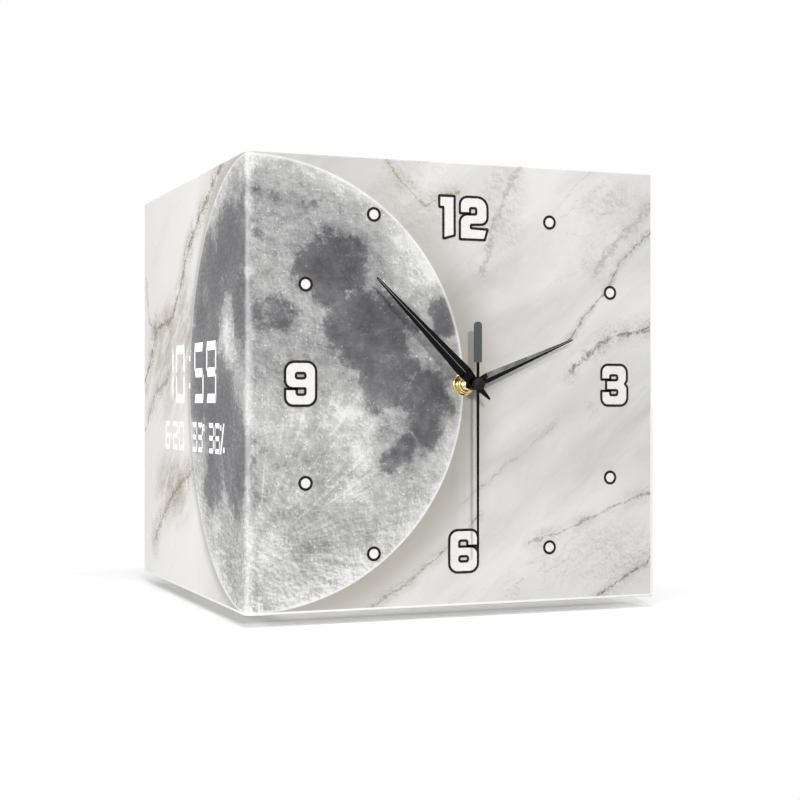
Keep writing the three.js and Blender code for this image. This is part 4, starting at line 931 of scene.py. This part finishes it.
def stroke(points, bm):
    """A low flat line along a closed outline."""
    rings = []
    rise = INK_FRONT + STROKE_RISE
    for i, point in enumerate(points):
        along = Vector(points[(i + 1) % len(points)]) - Vector(points[i - 1])
        out = Vector((along.y, -along.x)).normalized() * STROKE_R
        section = [(*(Vector(point) + out * x), INK_BACK + rise * y) for x, y in STROKE_SECTION]
        rings.append([bm.verts.new(corner) for corner in section])
    close_rings(bm, rings)


def shade(mesh, sharp):
    mesh.shade_smooth()
    mesh.set_sharp_from_angle(angle=math.radians(sharp))


def placed(name, bm, axes):
    """An object from a mesh of millimetres on the given axes."""
    bm.transform(Matrix.Scale(MM, 4) @ axes)
    mesh = bpy.data.meshes.new(name)
    bm.to_mesh(mesh)
    bm.free()
    made = bpy.data.objects.new(name, mesh)
    scene.collection.objects.link(made)
    return made


def piece(name, bm, axes, material, body="clock_body", node=None, sharp=32):
    """Places a mesh on a wing's axes, joins it to a body of the clock and lets it stand for a node."""
    made = placed(name, bm, axes)
    shade(made.data, sharp)
    made.data.materials.append(material)
    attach(made, body)
    if node:
        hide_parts(node)
    return made


def cut(target, bm, axes, operation="DIFFERENCE", sharp=25):
    """Cuts a form out of a piece, or joins it on."""
    tool = placed("tool", bm, axes)
    modifier = target.modifiers.new("cut", "BOOLEAN")
    modifier.object = tool
    modifier.operation = operation
    modifier.solver = "EXACT"
    bpy.context.view_layer.update()
    shaped = bpy.data.meshes.new_from_object(target.evaluated_get(bpy.context.evaluated_depsgraph_get()))
    target.modifiers.clear()
    clean = bmesh.new()
    clean.from_mesh(shaped)
    bmesh.ops.remove_doubles(clean, verts=clean.verts, dist=SLIVER)
    bmesh.ops.dissolve_degenerate(clean, edges=clean.edges, dist=SLIVER)
    clean.to_mesh(shaped)
    clean.free()
    shade(shaped, sharp)
    target.data = shaped
    bpy.data.objects.remove(tool)


def second_material(target, material, chosen):
    """Gives a second material to the faces for which chosen is true."""
    target.data.materials.append(material)
    for polygon in target.data.polygons:
        polygon.material_index = int(chosen(polygon))


def bevel(target, width, segments=2, limit=35):
    modifier = target.modifiers.new("edge", "BEVEL")
    modifier.width = width * MM
    modifier.segments = segments
    modifier.limit_method = "ANGLE"
    modifier.angle_limit = math.radians(limit)
    modifier.harden_normals = True


def shift(u=0.0, v=0.0, f=0.0, degrees=0.0):
    """Moves a form on its wing after turning it clockwise."""
    return Matrix.Translation((u, v, f)) @ Matrix.Rotation(-math.radians(degrees), 4, "Z")


# Materials
PRINT = print_material()
INK_LINE = ink("ink_line", "#150e0d", "#241816")
INK_FILL = ink("ink_fill", "#ebe8e6", "#f3f1ef")
LIT = lit("lit_segment")
ACRYLIC = moulded("acrylic_edge", "#eeeeec", 0.12, 0.02, 300.0)
HAND_BLACK = painted("hand_black", "#030303", 0.17, 0.12)
# painted highlight along the ridge of the hands
CREST_HIGHLIGHT = painted("crest_highlight", "#6f7072", 0.3, 0.3)
# the counterweight's lighter grey is a painted sheen on the black paint
WEIGHT_SHEEN_GREY = painted("weight_sheen_grey", "#3f4746", 0.4, 0.4)
CAP_BLACK = painted("cap_black", "#141516", 0.45, 0.15)
BRASS = machined("brass", "#dccb8e", 0.14, (1.0, 9.0, 1.0), "#7f6c38", 0.4)
STEEL = machined("steel", "#b4b5b7", 0.3, (8.0, 1.0, 1.0), "#66676a", 0.3)
MAGNET = machined("magnet", "#55565a", 0.5, (1.0, 1.0, 1.0), "#2c2c30", 0.5)
WHITE_PLASTIC = moulded("white_plastic", "#e9e8e4", 0.44, 0.03)
BLACK_PLASTIC = moulded("black_plastic", "#18181a", 0.46, 0.18)
NYLON = moulded("nylon", "#d6d2c2", 0.4, 0.04, 500.0)
SENSOR_BLUE = moulded("sensor_blue", "#3d7fb5", 0.5, 0.08)
FOAM = soft("foam_tape", "#d8d5cc", 900.0)
RUBBER = soft("rubber", "#1c1c1c", 1500.0)
BOARD = circuit("board_green")
COPPER = winding("copper_winding")
CELL_WRAP = wrapped("cell_wrap", "#b5793f", "#20304c")

NODE_MATERIALS = {
    WHITE_PLASTIC: (
        "top_rail bottom_rail dial_end_stile display_end_stile corner_post dial_back_plate display_back_plate"
    ),
    BLACK_PLASTIC: (
        "movement_case movement_cover set_knob time_digit_module climate_digit_module driver_chip coin_holder"
        " switch_1 switch_2 switch_3 button_1 button_2 button_3 power_lead"
    ),
    NYLON: "third_wheel centre_wheel intermediate_wheel minute_wheel hour_wheel",
    BRASS: "threaded_bush brass_washer brass_nut seconds_wheel minute_pipe",
    STEEL: (
        "stator coil_core quartz_crystal positive_contact negative_contact coin_cell usb_inlet"
        " dial_screw_1 dial_screw_2 dial_screw_3 dial_screw_4"
        " display_screw_1 display_screw_2 display_screw_3 display_screw_4"
    ),
    HAND_BLACK: "hour_hand minute_hand second_hand",
    MAGNET: "rotor",
    SENSOR_BLUE: "climate_sensor",
    FOAM: "bonding_tape",
    RUBBER: "rubber_washer",
    BOARD: "movement_board display_board",
    COPPER: "motor_coil",
    CELL_WRAP: "aa_cell",
    PRINT: "face_panel",
}
for material, names in NODE_MATERIALS.items():
    for name in names.split():
        nodes[name].data.materials.clear()
        nodes[name].data.materials.append(material)


# Face panel: one bent sheet with polished edges
def bent_line(inset):
    """Plan of one side of the sheet, from the end of the display wing to the end of the dial wing."""
    face = inset - DEPTH
    centre = BEND_R - DEPTH
    radius = BEND_R - inset
    points = [(face, FAR)]
    for i in range(BEND_STEPS + 1):
        angle = math.pi + math.pi / 2 * i / BEND_STEPS
        points.append((centre + radius * math.cos(angle), centre + radius * math.sin(angle)))
    return points + [(FAR, face)]


sheet = plate([bent_line(0) + bent_line(PANEL_T)[::-1]], -HALF, HALF)
panel = piece("printed_panel", sheet, PLAN, PRINT, node="face_panel")
cut(panel, plate([circle(HOLE_R, HOLE_SIDES)], -PANEL_T - 1, 1), DIAL)
second_material(panel, ACRYLIC, lambda face: face.normal.x + face.normal.y >= PRINTED_SIDE)
bevel(panel, **PANEL_EDGE)


# Hour marks
def mark(outlines, where, fills, lines):
    outlines = [[tuple((where @ Vector((x, y, 0))).xy) for x, y in points] for points in outlines]
    plate(outlines, INK_BACK, INK_FRONT, fills)
    for points in outlines:
        stroke(points, lines)


fills = bmesh.new()
lines = bmesh.new()
for outlines, u, v, degrees in NUMERALS:
    mark([rounded(corners) for corners in outlines], shift(u, v, 0, degrees), fills, lines)
for hour in range(12):
    if hour % 3:
        angle = math.tau * hour / 12
        where = shift(DOT_RADIUS * math.sin(angle), DOT_RADIUS * math.cos(angle))
        mark([circle(DOT_R, DOT_SIDES)], where, fills, lines)
piece("hour_marks_fill", fills, DIAL, INK_FILL)
piece("hour_marks_line", lines, DIAL, INK_LINE)


# Lit digits
def light(bm, *outlines):
    plate(outlines, LIT_BACK, LIT_FRONT, bm)


def segment_shapes(width, height, bar, side):
    """Outlines of the seven segments: a on top, then clockwise to f, and g in the middle."""
    gap = SEGMENT_GAP
    middle = height / 2
    upper_left = [
        (0, height - gap),
        (side, height - bar - gap),
        (side, middle + bar / 2 + gap),
        (side / 2, middle + gap),
        (0, middle + gap),
    ]
    top = [
        (gap, height),
        (width - gap, height),
        (width - side - gap, height - bar),
        (side + gap, height - bar),
    ]
    centre = [
        (side / 2 + gap, middle),
        (side + gap, middle + bar / 2),
        (width - side - gap, middle + bar / 2),
        (width - side / 2 - gap, middle),
        (width - side - gap, middle - bar / 2),
        (side + gap, middle - bar / 2),
    ]
    lower_left = [(x, height - y) for x, y in upper_left]
    return {
        "a": top,
        "b": [(width - x, y) for x, y in upper_left],
        "c": [(width - x, y) for x, y in lower_left],
        "d": [(x, height - y) for x, y in top],
        "e": lower_left,
        "f": upper_left,
        "g": centre,
    }


def row_of_digits(digits, span, strokes):
    bm = bmesh.new()
    low, high = span
    for character, u, width in digits:
        shapes = segment_shapes(width, high - low, *strokes)
        for key in SEGMENTS[character]:
            light(bm, [(u + x, low + y) for x, y in shapes[key]])
    return bm


def square(u, v, side):
    half = side / 2
    return [(u - half, v - half), (u + half, v - half), (u + half, v + half), (u - half, v + half)]


time_lit = row_of_digits(TIME_DIGITS, TIME_V, TIME_STROKE)
for v in COLON_V:
    light(time_lit, square(COLON_U, v, COLON_SIDE))
piece("time_digits_lit", time_lit, DISPLAY, LIT)

climate_lit = row_of_digits(CLIMATE_DIGITS, CLIMATE_V, CLIMATE_STROKE)
light(climate_lit, square(*DEGREE_AT, DEGREE_SIDE), square(*DEGREE_AT, DEGREE_HOLE))
slash_low, slash_high = CLIMATE_V
slash_left, slash_right = PERCENT_U
slash_far, slash_near = SLASH_SIDES
light(climate_lit, square(slash_left, slash_high - PERCENT_INSET, PERCENT_DOT))
light(climate_lit, square(slash_right, slash_low + PERCENT_INSET, PERCENT_DOT))
slash = [
    (slash_left - slash_far, slash_low),
    (slash_left + slash_near, slash_low),
    (slash_right + slash_far, slash_high),
    (slash_right - slash_near, slash_high),
]
light(climate_lit, slash)
piece("climate_digits_lit", climate_lit, DISPLAY, LIT)


# Brass washer, nut and threaded bush
def turned_washer():
    radius = WASHER["radius"]
    back = WASHER["back"]
    front = WASHER["front"]
    profile = [
        (HOLE_R, back),
        (radius - WASHER["back_edge"], back),
        (radius, back + WASHER["back_edge"]),
        (radius, front - WASHER["front_edge"]),
        (radius - WASHER["front_edge"], front),
        (HOLE_R, front),
        (HOLE_R, back),
    ]
    return lathe(profile, WASHER_SIDES)


def hexagon_nut():
    """A hexagon with chamfered ends and a round shoulder in front, round a bore."""
    bm = bmesh.new()
    back, front = NUT_SPAN
    back_cut, front_cut = NUT_CHAMFERS
    flat = NUT_FLATS / 2
    sixth = math.tau / 6
    end = flat - NUT_END
    corner = flat / math.cos(sixth / 2)
    hexagon = [flat / math.cos(math.tau * i / NUT_SIDES % sixth - sixth / 2) for i in range(NUT_SIDES)]
    stations = [back + back_cut * k / NUT_STEPS for k in range(NUT_STEPS + 1)]
    stations += [front - front_cut * k / NUT_STEPS for k in range(NUT_STEPS, -1, -1)]
    rings = []
    for forward in stations:
        cone = end + (corner - end) * min(1.0, (forward - back) / back_cut, (front - forward) / front_cut)
        rings.append(ring(bm, forward, [min(cone, radius) for radius in hexagon]))
    shoulder = (
        (SHOULDER["radius"], front),
        (SHOULDER["radius"], SHOULDER["front"] - SHOULDER["edge"]),
        (SHOULDER["radius"] - SHOULDER["edge"], SHOULDER["front"]),
        (HOLE_R, SHOULDER["front"]),
        (HOLE_R, back),
    )
    rings += [ring(bm, forward, [radius] * NUT_SIDES) for radius, forward in shoulder]
    return close_rings(bm, rings)


def threaded_bush():
    """A pipe whose outside follows a screw thread, with a flange at its back."""
    bm = bmesh.new()
    length = BUSH_FRONT - BUSH_FLANGE_FRONT
    steps = int(length / THREAD_PITCH * THREAD_STEPS)
    rings = []
    for k in range(steps + 1):
        forward = BUSH_FLANGE_FRONT + length * k / steps
        entry = min(1.0, (BUSH_FRONT - forward) / THREAD_PITCH)
        phases = [(forward / THREAD_PITCH - i / THREAD_SIDES) % 1 for i in range(THREAD_SIDES)]
        radii = [THREAD_R - THREAD_DEPTH * (1 - abs(2 * phase - 1) * entry) for phase in phases]
        rings.append(ring(bm, forward, radii))
    pipe = (
        (BUSH_BORE, BUSH_FRONT),
        (BUSH_BORE, BUSH_BACK),
        (BUSH_FLANGE_R, BUSH_BACK),
        (BUSH_FLANGE_R, BUSH_FLANGE_FRONT),
    )
    rings += [ring(bm, forward, [radius] * THREAD_SIDES) for radius, forward in pipe]
    return close_rings(bm, rings)


piece("turned_washer", turned_washer(), DIAL, BRASS, node="brass_washer")
piece("hexagon_nut", hexagon_nut(), DIAL, BRASS, node="brass_nut")
piece("cut_thread_bush", threaded_bush(), DIAL, BRASS, node="threaded_bush", sharp=THREAD_SHARP)


# Hands
def blade(hand, back, front):
    """A folded blade that points up."""
    bm = bmesh.new()
    tip = BLADE_TIP / 2
    wide = hand["width"] / 2
    slope = RIDGE / wide
    start_ease, end_share = BLADE_TAPER
    stations = (
        # distance along the hand, half-width, share of the fold
        (-hand["tail"], tip, 0.0),
        (CREASE - CREASE_HALF, wide - BLADE_EASE, 0.0),
        (CREASE + CREASE_HALF, wide - BLADE_EASE, 1.0),
        (hand["length"] - BLADE_TIP, tip + start_ease, 1.0),
        (hand["length"], tip * end_share, 1.0),
    )
    rings = []
    for along, half, folded in stations:
        crest = min(CREST, half / 2)
        top = front + slope * (half - crest) * folded
        section = ((-half, back), (half, back), (half, front), (crest, top), (-crest, top), (-half, front))
        rings.append([bm.verts.new((u, along, f)) for u, f in section])
    for near, far in zip(rings, rings[1:]):
        join_rings(bm, near, far)
    bm.faces.new(rings[0])
    bm.faces.new(rings[-1])
    bmesh.ops.recalc_face_normals(bm, faces=bm.faces)
    return bm


def blade_hand(name, node, body, hand):
    """A blade on a collet, with a painted highlight line along its ridge."""
    front = hand["front"] - PIPE_STUB
    back = front - BLADE_T
    foot = back - COLLET_T
    turn = DIAL @ shift(degrees=hand["angle"])
    made = piece(name, blade(hand, back, front), turn, HAND_BLACK, body, node)
    collet = [
        (0, foot),
        (COLLET_R - COLLET_EDGE, foot),
        (COLLET_R, foot + COLLET_EDGE),
        (COLLET_R, front - COLLET_SINK),
        (0, front - COLLET_SINK),
    ]
    cut(made, lathe(collet, HAND_SIDES), turn, "UNION")
    bore = plate([circle(hand["pipe"] + PIPE_PLAY, HAND_SIDES)], foot - 1, front + 1)
    cut(made, bore, turn, sharp=BORE_SHARP)

    def on_crest(face):
        spot = turn.inverted() @ (face.center / MM)
        return abs(spot.x) < CREST and spot.y > CREASE and spot.z > front + CREST_RISE

    # painted highlight on the flat top of the ridge
    second_material(made, CREST_HIGHLIGHT, on_crest)


def second_hand():
    """A needle with a round cap and a counterweight in a lighter grey, which paints the sheen of the same
    black paint.
    """
    body = "second_hand_group"
    turn = DIAL @ shift(degrees=SECOND_ANGLE)
    back = (MINUTE_PIPE_FRONT + ARBOR_FRONT) / 2
    front = back + NEEDLE["thickness"]
    half = NEEDLE["width"] / 2
    tip = NEEDLE["tip"] / 2
    end = -WEIGHT["near"] - NEEDLE["overlap"]
    point = NEEDLE["length"]
    outline = [(-tip, point), (-half, 0), (-half, end), (half, end), (half, 0), (tip, point)]
    form = plate([outline], back, front)
    needle = piece("second_needle", form, turn, HAND_BLACK, body, "second_hand")
    bevel(needle, NEEDLE["edge"])
    foot = MINUTE_PIPE_FRONT + CAP_FOOT_PLAY
    cap_back = back - CAP_BACK
    cap = [
        (0, ARBOR_FRONT + CAP_TOP_PLAY),
        (CAP_BORE, ARBOR_FRONT + CAP_TOP_PLAY),
        (CAP_BORE, foot),
        (CAP_R / 2, foot),
        (CAP_R / 2, cap_back),
        (CAP_R - CAP_BACK_EDGE, cap_back),
        (CAP_R, cap_back + CAP_BACK_EDGE),
    ]
    cap += [(CAP_R - inset, CAP_FRONT - depth) for inset, depth in CAP_ROUNDING]
    cap.append((0, CAP_FRONT))
    piece("second_cap", lathe(cap, HAND_SIDES), turn, CAP_BLACK, body)
    wide = WEIGHT["width"] / 2
    corners = [(-wide, -WEIGHT["near"], WEIGHT["near_r"]), (wide, -WEIGHT["near"], WEIGHT["near_r"])]
    corners += [(wide, -WEIGHT["far"], WEIGHT["far_r"]), (-wide, -WEIGHT["far"], WEIGHT["far_r"])]
    middle = (back + front) / 2
    thick = WEIGHT["thickness"] / 2
    bar = plate([rounded(corners, WEIGHT_STEPS)], middle - thick, middle + thick)
    weight = piece("second_weight", bar, turn, WEIGHT_SHEEN_GREY, body)
    bevel(weight, WEIGHT["edge"], 3)


blade_hand("hour_blade", "hour_hand", "hour_hand_group", HOUR_HAND)
blade_hand("minute_blade", "minute_hand", "minute_hand_group", MINUTE_HAND)
second_hand()


# Wall side: screws, dry cell and setting knob
def countersunk_screw():
    """A screw that points forward, with its flat head at zero."""
    edge = SCREW_HEAD_EDGE
    profile = [(0, 0), (SCREW_HEAD_R - edge, 0), (SCREW_HEAD_R, edge), (SCREW_R, SCREW_HEAD_T)]
    thread = SCREW_HEAD_T + SCREW_PITCH / 2
    for k in range(int((SCREW_LENGTH - SCREW_POINT - thread) / SCREW_PITCH)):
        profile += [(radius, thread + (k + share) * SCREW_PITCH) for radius, share in SCREW_TURN]
    profile += [(SCREW_ROOT_R, SCREW_LENGTH - SCREW_POINT), (0, SCREW_LENGTH)]
    return lathe(profile, SCREW_SIDES)


def cross(reach, half):
    points = []
    for k in range(4):
        turn = Matrix.Rotation(math.pi / 2 * k, 2)
        points += [tuple(turn @ Vector(point)) for point in ((half, half), (half, reach), (-half, reach))]
    return points


for wing, axes in (("dial", DIAL), ("display", DISPLAY)):
    for number in range(1, 5):
        node = f"{wing}_screw_{number}"
        spot = axes.inverted() @ (sum(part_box(node), Vector()) / 2 / MM)
        where = axes @ shift(spot.x, spot.y, -DEPTH)
        name = f"{wing}_cross_screw_{number}"
        screw = piece(name, countersunk_screw(), where, STEEL, node=node)
        cut(screw, plate([cross(RECESS_REACH, RECESS_HALF)], *RECESS_SPAN), where)


def dry_cell(radius, length):
    """A cell along its axis, from its flat end to its nub."""
    can = length - CELL_NUB
    profile = [(0, CELL_FOOT[0][1])]
    profile += [(radius - inset, height) for inset, height in CELL_FOOT]
    profile += [(radius - inset, can - depth) for inset, depth in CELL_HEAD]
    profile += [(CELL_NUB_R + outside, can + height) for outside, height in CELL_COLLAR]
    profile += [(CELL_NUB_R, length - CELL_NUB_EDGE), (CELL_NUB_R - CELL_NUB_EDGE, length), (0, length)]
    return lathe(profile, CELL_SIDES)


cell_low, cell_high = (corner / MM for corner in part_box("aa_cell"))
cell_size = cell_high - cell_low
cell_middle = (cell_low + cell_high) / 2
cell_end = Matrix.Translation((cell_low.x, cell_middle.y, cell_middle.z))
cell_axes = cell_end @ Matrix.Rotation(math.pi / 2, 4, "Y")
cell_form = dry_cell(cell_size.z / 2, cell_size.x)
cell = piece("dry_cell", cell_form, cell_axes, CELL_WRAP, node="aa_cell")
to_cell = cell_axes.inverted()
second_material(cell, STEEL, lambda face: (to_cell @ (face.center / MM)).xy.length < CELL_END_R)

knob_low, knob_high = (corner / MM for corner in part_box("set_knob"))
knob_middle = (knob_low + knob_high) / 2
knob_axes = DIAL @ Matrix.Translation(DIAL.inverted() @ Vector((knob_middle.x, knob_high.y, knob_middle.z)))
dish = lathe(KNOB_DISH, KNOB_SIDES)
piece("knob_dish", dish, knob_axes, BLACK_PLASTIC, "set_knob_group")

# Broken edges of the moulded and pressed parts
for width, names in EDGE_BREAKS.items():
    for name in names.split():
        weld = nodes[name].modifiers.new("weld", "WELD")
        weld.merge_threshold = WELD
        flat = nodes[name].modifiers.new("flat", "DECIMATE")
        flat.decimate_type = "DISSOLVE"
        flat.angle_limit = math.radians(FLAT_ANGLE)
        bevel(nodes[name], width, limit=EDGE_ANGLE)
        nodes[name].modifiers.new("normals", "WEIGHTED_NORMAL")


# Floor, light and camera
def graded(graph, plain, seen):
    """A level that is plain for the light, and seen for the eye, in mirrors and through glass."""
    looked = graph.node("LightPath", {}, "Is Camera Ray")
    for ray in ("Is Glossy Ray", "Is Transmission Ray"):
        looked = looked.do("MAXIMUM", graph.node("LightPath", {}, ray))
    return graph.node("MapRange", {"Value": looked, "To Min": plain, "To Max": seen})


def white_floor():
    """Pale floor that shows the shadow of the clock and is plain white further off."""
    material = bpy.data.materials.new("floor")
    graph = Graph(material)
    graph.tree.nodes.remove(graph.tree.nodes["Principled BSDF"])
    shadowed = graph.node("BsdfDiffuse", {"Color": graded(graph, FLOOR_GREY, FLOOR_SEEN)})
    plain = graph.node("Emission", {"Strength": graded(graph, FLOOR_GREY / 2, 1.0)})
    away = graph.node("TexCoord", {}, "Object").do("LENGTH")
    share = graph.node("MapRange", {"Value": away, "From Min": FLOOR_NEAR, "From Max": FLOOR_FAR})
    surface = graph.node("MixShader", {0: share, 1: shadowed, 2: plain})
    graph.feed(graph.tree.nodes["Material Output"].inputs["Surface"], surface)
    return material


def white_world():
    world = bpy.data.worlds.new("studio")
    graph = Graph(world)
    background = graph.tree.nodes["Background"]
    background.inputs["Color"].default_value = (1.0, 1.0, 1.0, 1.0)
    graph.feed(background.inputs["Strength"], graded(graph, WORLD_LIGHT, 1.0))
    return world


def lamp(name, aim, towards, distance, size, power):
    """An area lamp that shines on aim from the direction towards."""
    data = bpy.data.lights.new(name, "AREA")
    data.shape = "RECTANGLE"
    data.size, data.size_y = size
    data.energy = power
    made = bpy.data.objects.new(name, data)
    direction = Vector(towards).normalized()
    made.location = Vector(aim) + direction * distance
    made.rotation_euler = direction.to_track_quat("Z", "Y").to_euler()
    scene.collection.objects.link(made)


floor_mesh = bpy.data.meshes.new("floor")
floor_corners = [(x * FLOOR_HALF, y * FLOOR_HALF, FLOOR_AT) for x, y in ((-1, -1), (1, -1), (1, 1), (-1, 1))]
floor_mesh.from_pydata(floor_corners, [], [(0, 1, 2, 3)])
floor_mesh.materials.append(white_floor())
floor = bpy.data.objects.new("floor", floor_mesh)
scene.collection.objects.link(floor)
scene.world = white_world()
for name, settings in LAMPS.items():
    lamp(name, *settings)

camera_data = bpy.data.cameras.new("camera")
camera_data.lens = CAMERA_LENS
camera = bpy.data.objects.new("camera", camera_data)
camera.location = CAMERA_AT
camera.rotation_euler = (CAMERA_AIM - CAMERA_AT).to_track_quat("-Z", "Y").to_euler()
scene.collection.objects.link(camera)
scene.camera = camera
scene.view_settings.view_transform = "Standard"
